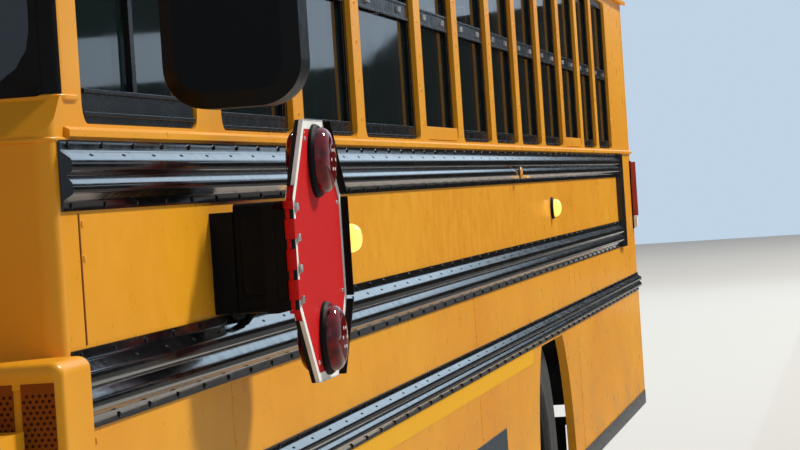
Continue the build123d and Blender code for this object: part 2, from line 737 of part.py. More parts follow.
def crossmember_places():
    """Evenly spaced between the gearbox and the rear bumper, front one first."""
    first = COWL_X - CROSSMEMBER["from_cowl"]
    last = BACK_X + CROSSMEMBER["from_back"]
    step = (first - last) / (CROSSMEMBERS - 1)
    return [first - index * step for index in range(CROSSMEMBERS)]


def crossmembers():
    half = RAIL_Y[1] - RAIL_T
    spec = CROSSMEMBER
    low, high, wide, t = spec["z0"], spec["z1"], spec["w"] / 2, spec["t"]
    pieces = []
    for x in crossmember_places():
        beam = block(x - wide, x + wide, -half, half, low, high)
        beam = beam - block(x - wide + t, x + wide + 5, -half - 5, half + 5, low + t, high - t)
        pieces.append(beam)
    save("crossmembers", *pieces)


def front_bumper():
    z0, z1 = FRONT_BUMPER_Z
    face = FRONT_X
    back = face - BUMPER_DEPTH + 10
    tip = FENDER_Y - 5
    half = ((back, tip - 295), (face - 60, tip - 15), (face - 45, tip), (face - 30, tip - 15),
            (face, tip - 335))
    points = [(x, -y) for x, y in half] + list(reversed(half))
    edge = Polyline(*[(x, y, z0) for x, y in points], close=True)
    bar = extrude(make_face(edge), amount=z1 - z0, dir=(0, 0, 1))
    hinge_x, hinge_z = HOOD_PIVOT
    tow = TOW
    eye_x = face - tow["r"]
    for side in (1, -1):
        y0, y1 = side * tow["y0"], side * tow["y1"]
        bar = bar + block(rail_front(), back + 5, side * (RAIL_Y[0] + 8), side * (RAIL_Y[1] - 12), 600, z1)
        bar = bar + block(face - 2 * tow["r"], face, y0, y1, z0 - 20, z0 + 5)
        bar = bar + disc_y(eye_x, y0, y1, z0 - 20, tow["r"])
        bar = bar - disc_y(eye_x, y0 - side * 10, y1 + side * 10, z0 - 20, tow["bore_r"])
    hinge = HOOD_HINGE
    _, fixed = hinge_spans(hinge["places"], hinge["length"])
    drop = hinge_z - z1 + 40
    for piece in knuckles((hinge_x, 0, hinge_z), (0, 1, 0), (0, 0, -1), drop, fixed, hinge["r"]):
        bar = bar + piece
    reach = hinge["length"] + 2
    for place in hinge["places"]:
        bar = bar + block(hinge_x - hinge["r"], back + 5, place - reach, place + reach, z1 - 40, z1 - 10)
    save("front_bumper", bar)


def rear_bumper():
    z0, z1 = REAR_BUMPER_Z
    outer = block(REAR_X, BACK_X, -SIDE_Y + 10, SIDE_Y - 10, z0, z1)
    outer = fillet(outer.edges().filter_by(Axis.Z).sort_by(Axis.X)[:2], 60)
    outer = outer - block(REAR_X + 20, BACK_X + 5, -SIDE_Y + 60, SIDE_Y - 60, z0 - 5, z1 - 20)
    for side in (1, -1):
        outer = outer + block(REAR_X + 15, BACK_X, side * RAIL_Y[0], side * RAIL_Y[1], 560, z1 - 10)
    y, z = EXHAUST["y"], exhaust_z()
    outer = outer - rod((REAR_X - 5, y, z), (BACK_X + 5, y, z), EXHAUST["r"] + 12)
    save("rear_bumper", outer)


def axles():
    """Dropped beam in front, tube with differential at the rear."""
    half = KINGPIN_Y
    end = TYRE_R
    spec = BEAM
    line = ((-half, end), (-half + spec["drop_out"], end), (-half + spec["drop_in"], spec["z"]),
            (half - spec["drop_in"], spec["z"]), (half - spec["drop_out"], end), (half, end))
    lower = [(y, z - spec["h"] / 2) for y, z in line]
    upper = [(y, z + spec["h"] / 2) for y, z in reversed(line)]
    beam = outline_x(lower + upper, AXLE_F - spec["w"] / 2, AXLE_F + spec["w"] / 2)
    for side in (1, -1):
        beam = beam + Pos(AXLE_F, side * half, end) * Cylinder(spec["w"] / 2 - 1, 120)
        beam = beam - Pos(AXLE_F, side * half, end) * Cylinder(KINGPIN_R + RUN, 200)
    tube = disc_y(AXLE_R, -SPINDLE_SEAT_Y, SPINDLE_SEAT_Y, TYRE_R, AXLE_TUBE_R)
    bowl = Pos(AXLE_R, 0, TYRE_R) * Rot(0, 90, 0) * Cylinder(BOWL["r"], BOWL["w"])
    tube = tube + chamfer(bowl.edges().filter_by(GeomType.CIRCLE), BOWL["bevel"])
    for side in (1, -1):
        inner, outer = side * (SPINDLE_SEAT_Y - 15), side * SPINDLE_END["rear"]
        tube = tube + disc_y(AXLE_R, inner, outer, TYRE_R, SPINDLE_R["rear"])
    save("axles", beam, tube)


def knuckle(side_name):
    """Fork round the beam's eye, kingpin, and the spindle that carries the wheel."""
    z = TYRE_R
    y = KINGPIN_Y
    eye = KNUCKLE_EYE
    low, high = z - eye["gap"] - eye["h"], z + eye["gap"]
    solid = Pos(AXLE_F, y, z) * Cylinder(KINGPIN_R, 210)
    for foot in (high, low):
        solid = solid + Pos(AXLE_F, y, foot + eye["h"] / 2) * Cylinder(eye["r"], eye["h"])
        solid = solid + block(AXLE_F - 40, AXLE_F + 40, y, y + eye["back"], foot, foot + eye["h"])
    solid = solid + block(AXLE_F - 40, AXLE_F + 40, y + 50, y + eye["back"], low, high + eye["h"])
    solid = solid + disc_y(AXLE_F, y + 60, SPINDLE_END["front"], z, SPINDLE_R["front"])
    arm = STEER_ARM
    half = arm["w"] / 2
    solid = solid + block(AXLE_F - arm["length"], AXLE_F, y - half, y + half, low, low + arm["t"])
    if side_name == "right":
        solid = flip(solid)
    save("knuckle_" + side_name, solid)


def leaf_springs():
    """Stacked leaves between hangers on the rails, four packs."""
    y1 = RAIL_Y[1] - 5
    y0 = y1 - SPRING["w"]
    packs = ((AXLE_F, SPRING_HALF["front"], BEAM["z"] + BEAM["h"] / 2),
             (AXLE_R, SPRING_HALF["rear"], TYRE_R + AXLE_TUBE_R))
    top = RAIL_Z[0]
    eye_z = top - SPRING["eye_drop"]
    rise, thick, wide = SPRING["rise"], SPRING["thick"], SPRING["hanger_w"] / 2
    pieces = []
    for x, half, low in packs:
        outline = [(x - half, eye_z - 10), (x - half / 2, low + rise), (x - 60, low), (x + 60, low),
                   (x + half / 2, low + rise), (x + half, eye_z - 10), (x + half, eye_z + 4),
                   (x + half / 2, low + thick - 12), (x, low + thick), (x - half / 2, low + thick - 12),
                   (x - half, eye_z + 4)]
        pack = outline_y(outline, y0, y1)
        for end in (x - half, x + half):
            pack = pack + disc_y(end, y0, y1, eye_z - 3, SPRING["eye_r"])
            pack = pack + block(end - wide, end + wide, y0 + 5, y1 - 5, eye_z, top)
        pieces.extend([pack, flip(pack)])
    save("leaf_springs", *pieces)


def engine_rear():
    return AXLE_F - ENGINE["half_l"]


def driveline():
    """Engine and gearbox as plain blocks, and the propeller shaft to the rear axle."""
    spec = ENGINE
    half = spec["half_w"]
    engine = block(engine_rear(), AXLE_F + spec["half_l"], -half, half, spec["z0"], spec["z1"])
    engine = chamfer(engine.edges().filter_by(Axis.X), spec["bevel"])
    box = GEARBOX
    box_rear = crossmember_places()[0] + 130
    gearbox = block(box_rear, engine_rear(), -box["half_w"], box["half_w"], box["z0"], box["z1"])
    gearbox = chamfer(gearbox.edges().filter_by(Axis.X), box["bevel"])
    bowl_face = AXLE_R + BOWL["w"] / 2 + 1.2
    shaft = rod((box_rear + 10, 0, SHAFT_Z), (bowl_face, 0, TYRE_R + 20), SHAFT_R)
    solid = engine + gearbox + shaft
    foot = ENGINE_FOOT
    for side in (1, -1):
        y0, y1 = side * (half - 10), side * (RAIL_Y[1] - RAIL_T)
        solid = solid + block(AXLE_F - foot["x1"], AXLE_F - foot["x0"], y0, y1, foot["z0"], foot["z1"])
    save("driveline", solid)


def fuel_tank():
    spec = TANK
    y0 = -SIDE_Y + spec["inset_y"]
    y1 = -RAIL_Y[1] - RUN
    half = spec["half_l"]
    tank = rounded_block(-half, half, y0, y1, spec["z0"], spec["z1"], spec["r"], Axis.X)
    save("fuel_tank", tank)


def exhaust_z():
    """The pipe passes just over the rear axle's tube."""
    return TYRE_R + AXLE_TUBE_R + EXHAUST["r"] + 5


def exhaust():
    spec = EXHAUST
    y = spec["y"]
    z = exhaust_z()
    pipe = rod((engine_rear() - RUN, y, z), (REAR_X + 10, y, z), spec["r"])
    front = COWL_X - spec["muffler_from"]
    muffler = rod((front - spec["muffler_l"], y, z), (front, y, z), spec["muffler_r"])
    solid = pipe + chamfer(muffler.edges().filter_by(GeomType.CIRCLE), 15)
    places = crossmember_places()
    for index in spec["hangers"]:
        x = places[index]
        solid = solid + block(x - 15, x + 15, y - 12, y + 12, z, CROSSMEMBER["z0"])
    save("exhaust", solid)


# Wheels

def tyre_solid(y_mid):
    half = TYRE_W / 2
    shape = ((RIM_R, BEAD), (RIM_R + 16, BEAD), (RIM_R + 34, 0.9), (RIM_R + 0.6 * (TYRE_R - RIM_R), 1.0),
             (TYRE_R - 26, 0.86), (TYRE_R, 0.74))
    outer = [(radius, share * half) for radius, share in shape]
    points = outer + [(radius, -width) for radius, width in reversed(outer)]
    edge = Polyline(*[(radius, width, 0) for radius, width in points], close=True)
    ring = revolve(make_face(edge), Axis.Y)
    return Pos(0, y_mid, 0) * ring


def ring_y(points):
    """Solid turned about Y from (radius, y) points."""
    edge = Polyline(*[(radius, y, 0) for radius, y in points], close=True)
    return revolve(make_face(edge), Axis.Y)


def rim_solid(y_mid, disc_at, outboard, slope):
    """Wheel rim: flanged barrel and a disc with hand holes, the disc off the middle."""
    width = BEAD * TYRE_W / 2 + RUN
    edge = width + 10
    lip = RIM_R + 12
    bed = RIM_R - RUN
    barrel = ring_y(((lip, -edge), (lip, -width), (bed, -width), (bed, width), (lip, width), (lip, edge),
                     (RIM_R - 16, edge), (RIM_R - 16, -edge)))
    foot = disc_at - outboard * slope
    half = DISC_T / 2
    flat, rim = 175, RIM_R - 10
    dish = ring_y(((70, disc_at - half), (70, disc_at + half), (flat, disc_at + half), (rim, foot + half),
                   (rim, foot - half), (flat, disc_at - half)))
    for index in range(HAND_HOLES["count"]):
        turn = Rot(0, 360 / HAND_HOLES["count"] * index, 0)
        cutter = Cylinder(HAND_HOLES["r"], 3 * slope + 60)
        dish = dish - turn * (Pos(HAND_HOLES["at"], disc_at, 0) * Rot(90, 0, 0) * cutter)
    return Pos(0, y_mid, 0) * (barrel + dish)


def drum_ring(inner_y, outer_y):
    return ring_y(((HUB_R, inner_y), (HUB_R, outer_y), (DRUM_R - 5, outer_y), (DRUM_R, inner_y)))


def front_wheel(side_name):
    """Tyre, rim, hub and drum of a steered wheel."""
    place = Pos(AXLE_F, 0, TYRE_R)
    tyre = place * tyre_solid(TRACK_Y)
    rim = rim_solid(TRACK_Y, FRONT_DISC["at"], 1, FRONT_DISC["slope"])
    rim = rim + disc_y(0, TRACK_Y - 50, TRACK_Y + 110, 0, HUB_R)
    rim = rim + drum_ring(KINGPIN_Y + 85, TRACK_Y - 20)
    rim = rim - disc_y(0, KINGPIN_Y - 3, SPINDLE_END["front"] + 3, 0, SPINDLE_R["front"] + RUN)
    rim = place * rim
    if side_name == "right":
        tyre = flip(tyre)
        rim = flip(rim)
    save("tyre_front_" + side_name, tyre)
    save("rim_front_" + side_name, rim)


def rear_wheel(side_name):
    """Twin tyres on two rims with one hub and drum."""
    place = Pos(AXLE_R, 0, TYRE_R)
    inner, outer = DUAL_Y
    middle = (inner + outer) / 2
    tyres = [place * tyre_solid(inner), place * tyre_solid(outer)]
    off = DISC_T / 2
    rims = rim_solid(inner, middle - inner - off, 1, REAR_DISH)
    rims = rims + rim_solid(outer, middle - outer + off, -1, REAR_DISH)
    hub = disc_y(0, middle - 110, middle + 150, 0, HUB_R)
    drum = drum_ring(SPINDLE_SEAT_Y + 5, middle - 20)
    bore = disc_y(0, SPINDLE_SEAT_Y - 78, SPINDLE_END["rear"] + 3, 0, SPINDLE_R["rear"] + RUN)
    rims = place * (rims + hub + drum - bore)
    if side_name == "right":
        tyres = [flip(tyre) for tyre in tyres]
        rims = flip(rims)
    save("tyres_rear_" + side_name, *tyres)
    save("rims_rear_" + side_name, rims)


# Hood

def bonnet_section(index, inset):
    ahead, low_half, top_half, top_z, radius = BONNET[index]
    x = COWL_X + ahead
    if inset and index == len(BONNET) - 1:
        x = x - inset
    if inset and index == 0:
        x = x - 40
    base = BONNET_BASE_Z - inset * 2
    points = [(-low_half + inset, base), (low_half - inset, base), (top_half - inset, top_z - inset),
              (-top_half + inset, top_z - inset)]
    face = make_face(Polyline(*[(x, y, z) for y, z in points], close=True))
    corners = face.vertices().sort_by(Axis.Z)[-2:]
    return fillet_face(face, corners, radius - inset)


def fillet_face(face, corners, radius):
    return face.face().fillet_2d(radius, corners)


def bonnet(inset=0):
    return loft([bonnet_section(index, inset) for index in range(len(BONNET))], ruled=True)


def fender_block(inset=0):
    """Across both fenders: flat top that falls to a rounded nose."""
    nose = HOOD_NOSE_X - inset
    top = FENDER_TOP - inset
    back = FENDER_BACK_X - (40 if inset else 0)
    low = HOOD_LOW_Z - (40 if inset else 0)
    points = ((back, low), (nose, low), (nose, 1010), (nose - 45, 1130 - inset / 2), (nose - 190, top - 20),
              (nose - 380, top), (back, top))
    half = FENDER_Y - inset
    solid = outline_y(points, -half, half)
    nose_edges = solid.edges().filter_by(Axis.Z).filter_by(lambda e: e.center().X > nose - 5)
    return fillet(nose_edges, FENDER_NOSE_R - inset)


def hood():
    shell = fender_block() + bonnet()
    shell = shell - fender_block(SHEET_T)
    shell = shell - bonnet(SHEET_T)
    inner = FENDER_Y - 560
    shell = shell - arch_cut(inner, FENDER_Y + 5, FENDER_ARCH_R, AXLE_F)
    shell = shell - arch_cut(-FENDER_Y - 5, -inner, FENDER_ARCH_R, AXLE_F)
    shell = shell - block(HOOD_NOSE_X - 60, HOOD_NOSE_X + 20, -GRILLE["half_w"], GRILLE["half_w"],
                          GRILLE["z0"], GRILLE["z1"])
    for side in (1, -1):
        shell = shell - headlamp_box(side, HOOD_NOSE_X - 90, HOOD_NOSE_X + 20)
    moving, _ = hinge_spans(HOOD_HINGE["places"], HOOD_HINGE["length"])
    hinge_x, hinge_z = HOOD_PIVOT
    for piece in knuckles((hinge_x, 0, hinge_z), (0, 1, 0), (0, 0, 1), 60, moving, HOOD_HINGE["r"]):
        shell = shell + piece
    save("hood", shell)


def headlamp_box(side, x0, x1):
    lamp = HEADLAMP
    half_w, half_h = lamp["w"] / 2, lamp["h"] / 2
    y0, y1 = side * (lamp["y"] - half_w), side * (lamp["y"] + half_w)
    return rounded_block(x0, x1, y0, y1, lamp["z"] - half_h, lamp["z"] + half_h, lamp["r"], Axis.X)


def headlamps():
    x1 = HOOD_NOSE_X + 4
    pieces = [headlamp_box(side, x1 - HEADLAMP["depth"], x1) for side in (1, -1)]
    save("headlamps", *pieces)


def grille():
    spec = GRILLE
    x1 = HOOD_NOSE_X - 2
    x0 = x1 - spec["depth"]
    half, edge, z0, z1 = spec["half_w"], spec["edge"], spec["z0"], spec["z1"]
    frame = block(x0, x1, -half, half, z0, z1)
    frame = frame - block(x0 - 5, x1 + 5, -half + edge, half - edge, z0 + edge, z1 - edge)
    step = (z1 - z0 - 2 * edge) / spec["bars"]
    bar = half - edge + 10
    for index in range(1, spec["bars"]):
        z = z0 + edge + index * step
        frame = frame + block(x0 + 5, x1 - 6, -bar, bar, z - spec["bar_t"] / 2, z + spec["bar_t"] / 2)
    save("grille", frame)


def crossview_mirrors():
    """Domed mirrors on stalks at the fenders' front corners."""
    spec = CROSSVIEW
    x = HOOD_NOSE_X - spec["back"]
    y = FENDER_Y - spec["in_y"]
    dome = Pos(x + spec["t"] / 2, y, FENDER_TOP + spec["up"]) * Rot(0, 90, 0) * Cylinder(spec["r"], spec["t"])
    dome = fillet(dome.edges().filter_by(GeomType.CIRCLE).sort_by(Axis.X)[-1:], spec["t"] - 15)
    stalk = rod((x, y, FENDER_TOP + 5), (x, y, FENDER_TOP + spec["post"]), spec["post_r"])
    foot = Pos(x, y, FENDER_TOP + 12) * Cylinder(40, 24)
    piece = dome + stalk + foot
    save("crossview_mirrors", piece, flip(piece))


# Outside fittings

def rear_view_mirrors():
    """Tall housings on two bent arms from the front corners."""
    spec = MIRROR
    x0 = COWL_X + spec["x"] - spec["depth"] / 2
    x1 = x0 + spec["depth"]
    head = rounded_block(x0, x1, spec["y0"], spec["y1"], spec["z0"], spec["z1"], spec["r"], Axis.X)
    head = chamfer(head.faces().sort_by(Axis.X)[-1].edges(), 22)
    middle_y = (spec["y0"] + spec["y1"]) / 2
    arm_x = COWL_X + spec["x"]
    foot_y = SIDE_Y - 35
    radius = spec["arm_r"]
    for up in spec["arms"]:
        z = spec["z0"] + up
        knee = (arm_x, foot_y, z)
        foot = (COWL_X, foot_y, z)
        head = head + rod(foot, (COWL_X + 12, foot_y, z), 26) + rod(foot, knee, radius)
        head = head + Pos(*knee) * Sphere(radius + 2) + rod(knee, (arm_x, middle_y, z), radius)
    post_top = spec["z0"] + spec["arms"][-1] + 22
    head = head + rod((arm_x, middle_y, spec["z0"] + 60), (arm_x, middle_y, post_top), spec["post_r"])
    save("rear_view_mirrors", head, flip(head))


def warning_lamps():
    spec = WARNING
    y0, y1 = spec["y"][0] - spec["side"], spec["y"][1] + spec["side"]
    z0, z1 = spec["z"] - spec["side"], spec["z"] + spec["above"]
    panels = []
    lamps = []
    for face_x, out in ((COWL_X, 1), (BACK_X, -1)):
        x1 = face_x + out * spec["out"]
        x2 = x1 + out * spec["lamp_out"]
        for side in (1, -1):
            panels.append(rounded_block(face_x, x1, side * y0, side * y1, z0, z1, 40, Axis.X))
            for y in spec["y"]:
                lamps.append(rod((x1, side * y, spec["z"]), (x2, side * y, spec["z"]), spec["r"]))
    save("warning_lamp_panels", *panels)
    save("warning_lamps", *lamps)


def tail_lamps():
    lamps = []
    for y, z, radius in TAIL_LAMPS:
        for side in (1, -1):
            lamps.append(rod((BACK_X, side * y, z), (BACK_X - TAIL_LAMP_OUT, side * y, z), radius))
    save("tail_lamps", *lamps)


def stop_hinge_at():
    """Upright axis at the sign's front edge."""
    return (COWL_X - STOP["centre_back"] + STOP["flat"] / 2 + KNUCKLE_R, SIDE_Y + STOP["out"], 0)


def stop_spans():
    return hinge_spans((STOP["z"] - 62, STOP["z"] + 42), 34)


def stop_arm_housing():
    x1 = COWL_X - STOP["box_back"]
    x0 = x1 - STOP["box_len"]
    out = SIDE_Y + STOP["box_out"]
    low, high = STOP["box_z0"], STOP["box_z1"]
    base = block(x0 + 12, x1 + 10, SIDE_Y, SIDE_Y + 40, low + 14, high - 14)
    box = rounded_block(x0, x1, SIDE_Y + 40, out - 12, low + 12, high, 12, Axis.Y)
    hinge_x, hinge_y, _ = stop_hinge_at()
    arm = block(x1 - 40, hinge_x + KNUCKLE_R, out - 32, out - 12, STOP["z"] - 100, STOP["z"] + 88)
    solid = base + box + arm
    _, fixed = stop_spans()
    for piece in knuckles((hinge_x, hinge_y, 0), (0, 0, 1), (0, -1, 0), hinge_y - out + 14, fixed):
        solid = solid + piece
    save("stop_arm_housing", solid)


def stop_sign():
    """Eight-sided plate with a lamp pod above and below."""
    centre = (COWL_X - STOP["centre_back"], SIDE_Y + STOP["out"], STOP["z"])
    corner = STOP["flat"] / 2 / math.cos(math.pi / 8)
    angles = [math.pi / 8 + index * math.pi / 4 for index in range(8)]
    points = [(centre[0] + corner * math.cos(a), centre[2] + corner * math.sin(a)) for a in angles]
    half = STOP["plate_t"] / 2
    plate = outline_y(points, centre[1] - half, centre[1] + half)
    for side in (1, -1):
        z = centre[2] + side * STOP["lamp_z"]
        pod = disc_y(centre[0], centre[1] - half - STOP["lamp_out"], centre[1] + half + STOP["lamp_out"], z,
                     STOP["lamp_r"])
        plate = plate + chamfer(pod.edges().filter_by(GeomType.CIRCLE), 8)
    moving, _ = stop_spans()
    hinge_x, hinge_y, _ = stop_hinge_at()
    for piece in knuckles((hinge_x, hinge_y, 0), (0, 0, 1), (-1, 0, 0), 30, moving):
        plate = plate + piece
    save("stop_sign", plate)


# Inside

def bench_backs_x():
    pitch = (BODY_LENGTH - FIRST_ROW - LAST_ROW) / (ROWS - 1)
    return [COWL_X - FIRST_ROW - index * pitch for index in range(ROWS)]


def pad(x0, x1, y0, y1, z0, z1):
    """Cushion with its front edges rounded."""
    box = block(x0, x1, y0, y1, z0, z1)
    return fillet(box.edges().filter_by(Axis.Y).sort_by(Axis.X)[-2:], 30)


def benches():
    """Cushion and back for each bench, and one frame for each under both."""
    spec = BENCH
    soft = []
    frames = []
    y0, y1 = spec["y0"], spec["y1"]
    cushion_low = spec["top_z"] - spec["cushion_t"]
    top = cushion_low - RUN
    low = top - 30
    tube = spec["tube"]
    legs_y = (y0 + 40, spec["leg_y"])
    for back_x in bench_backs_x():
        cushion = pad(back_x + RUN, back_x + spec["depth"], y0, y1, cushion_low, spec["top_z"])
        foot_z, head_z = cushion_low + 20, spec["back_top"]
        head_x = back_x - spec["lean"]
        back = outline_y(((back_x, foot_z), (head_x, head_z), (head_x - spec["back_t"], head_z),
                          (back_x - spec["back_t"], foot_z)), y0, y1)
        soft.extend([cushion, flip(cushion), back, flip(back)])
        rear, front = back_x - 50, back_x + spec["depth"] - 30
        frame = block(rear, front, legs_y[0], legs_y[0] + tube, low, top)
        frame = frame + block(rear, front, legs_y[1], legs_y[1] + tube, low, top)
        for x in (rear + 10, front - 50):
            frame = frame + block(x, x + tube, legs_y[0], INNER_Y, low, top)
            for y in legs_y:
                frame = frame + block(x, x + tube, y, y + tube, FLOOR_Z, low)
        frames.extend([frame, flip(frame)])
    cushions, pedestal = driver_seat()
    save("seats", *soft, *cushions)
    save("seat_frames", *frames, pedestal)


def driver_seat():
    spec = DRIVER
    x = COWL_X - spec["back"]
    y, z = spec["y"], spec["seat_z"]
    y0, y1 = y - spec["half_w"], y + spec["half_w"]
    cushion = pad(x, x + spec["depth"], y0, y1, z, z + spec["cushion_t"])
    top = spec["back_top"]
    back = outline_y(((x - RUN, z), (x - 90, top), (x - 180, top), (x - 110, z)), y0, y1)
    pedestal = block(x + 60, x + 380, y - 150, y + 150, FLOOR_Z, z - 60)
    plate = block(x - 110, x + spec["depth"] - 20, y0 + 30, y1 - 30, z - 60, z - RUN)
    return [cushion, back], pedestal + plate


def dashboard():
    """Instrument panel across the driver's side, with the column's housing."""
    x0 = COWL_X - DASH["back"]
    x1 = COWL_X - WALL_T
    profile = ((x0, 1340), (x0 + 40, 1560), (x0 + 170, DASH["z1"]), (x1, DASH["z1"] + 20),
               (x1, DASH["z0"]), (x0 + 180, DASH["z0"]))
    panel = outline_y(profile, DASH["y0"], INNER_Y)
    start, direction = column_line()
    column = rod(tuple(start + direction * -30), tuple(start + direction * -430), STEER["column_r"])
    save("dashboard", panel + column)


def column_line():
    """Centre of the steering wheel, and the direction its column points up."""
    angle = math.radians(STEER_TILT)
    centre = Vector(COWL_X - STEER["back"], DRIVER["y"], STEER["z"])
    return centre, Vector(-math.sin(angle), 0, math.cos(angle))


def steering_wheel():
    centre, direction = column_line()
    plane = Plane(origin=centre, z_dir=direction)
    spec = STEER
    hub_low = -28.5
    wheel = Torus(spec["r"], spec["rim_r"]) + Pos(0, 0, -10) * Cylinder(spec["hub_r"], 34)
    for angle in (0, 120, 240):
        wheel = wheel + Rot(0, 0, angle) * (Pos(132, 0, -6) * Box(190, 24, 10))
    wheel = wheel + Pos(0, 0, hub_low) * Cylinder(16, 3 - RUN)
    save("steering_wheel", plane * wheel)


def build():
    os.makedirs("parts", exist_ok=True)
    frame_rails()
    crossmembers()
    front_bumper()
    rear_bumper()
    axles()
    leaf_springs()
    driveline()
    fuel_tank()
    exhaust()
    cabin_floor()
    entry_steps()
    left_wall()
    right_wall()
    entry_door_frame()
    skirts()
    roof()
    front_wall()
    rear_wall()
    vent_boxes()
    rub_rails()
    sashes, panes = side_glazing()
    save("window_sashes", *sashes)
    save("cabin_glass", *panes, *end_glass())
    warning_lamps()
    tail_lamps()
    rear_view_mirrors()
    stop_arm_housing()
    stop_sign()
    entry_leaf("front")
    entry_leaf("rear")
    rear_door()
    hatch_lid("roof_hatch_front", HATCHES["front"])
    hatch_lid("roof_hatch_rear", HATCHES["rear"])
    hood()
    grille()
    headlamps()
    crossview_mirrors()
    benches()
    dashboard()
    steering_wheel()
    for side_name in ("left", "right"):
        knuckle(side_name)
        front_wheel(side_name)
        rear_wheel(side_name)


build()
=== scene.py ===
import json
import math

import bmesh
import bpy
from mathutils.bvhtree import BVHTree
from mathutils import Matrix, Vector


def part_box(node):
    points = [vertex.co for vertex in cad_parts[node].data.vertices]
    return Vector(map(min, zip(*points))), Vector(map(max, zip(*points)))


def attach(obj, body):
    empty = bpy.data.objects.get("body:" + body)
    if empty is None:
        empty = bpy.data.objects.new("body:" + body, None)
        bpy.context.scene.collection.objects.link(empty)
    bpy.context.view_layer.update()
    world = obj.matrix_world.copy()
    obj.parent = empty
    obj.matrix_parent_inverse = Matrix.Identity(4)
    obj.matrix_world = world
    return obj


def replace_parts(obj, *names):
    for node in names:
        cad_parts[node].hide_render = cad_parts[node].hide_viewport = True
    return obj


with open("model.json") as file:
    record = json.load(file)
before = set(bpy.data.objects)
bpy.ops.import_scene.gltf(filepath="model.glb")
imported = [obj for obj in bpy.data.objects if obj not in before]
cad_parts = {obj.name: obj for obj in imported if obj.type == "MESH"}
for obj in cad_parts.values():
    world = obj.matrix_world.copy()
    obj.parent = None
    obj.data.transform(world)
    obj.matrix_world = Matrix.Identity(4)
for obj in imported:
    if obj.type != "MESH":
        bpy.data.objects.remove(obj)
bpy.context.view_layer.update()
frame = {"nodes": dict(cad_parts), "record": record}
NODES = frame["nodes"]
SLOTS = {part["node"]: part["material_slot"] for part in frame["record"]["subparts"]}

# Places that many pieces share, read from the frame (metres)
WALL_LOW, WALL_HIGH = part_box("left_wall")
SIDE_Y = WALL_HIGH.y
COWL_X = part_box("roof_eaves")[1].x + SIDE_Y - WALL_LOW.y
BACK_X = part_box("roof_eaves")[0].x - (SIDE_Y - WALL_LOW.y)
EAVE_Z = WALL_HIGH.z
HATCH_X = [sum(corner.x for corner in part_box(node)) / 2 for node in ("roof_hatch_front", "roof_hatch_rear")]
SHIELD_HALF = 1.195
SHIELD_LOW, SHIELD_HIGH = 1.725, 2.47
CORNER_R = 0.03                  # of the upright corner beside the windshield
CREASE_Z = 1.656                 # fold of the cowl below the windshield

# The photograph's camera: it stands ahead of the cowl and outboard of the driver's side, looking back
PHOTO_W, PHOTO_H = 800, 450
FOCAL_PX = 3000.0
VANISH_PX = (870.0, 161.0)       # where the bus's long lines meet, in the photograph's pixels
ROLL_DEG = 3.66
EYE = Vector((COWL_X + 4.14, SIDE_Y + 1.13, 1.55))
SENSOR_MM = 36.0
FLAG_X = (-40.0, -26.0, -5.0)    # the dark flags behind and beside the bus


# Meshes

BOX_FACES = [(0, 1, 3, 2), (4, 6, 7, 5), (0, 4, 5, 1), (2, 3, 7, 6), (0, 2, 6, 4), (1, 5, 7, 3)]


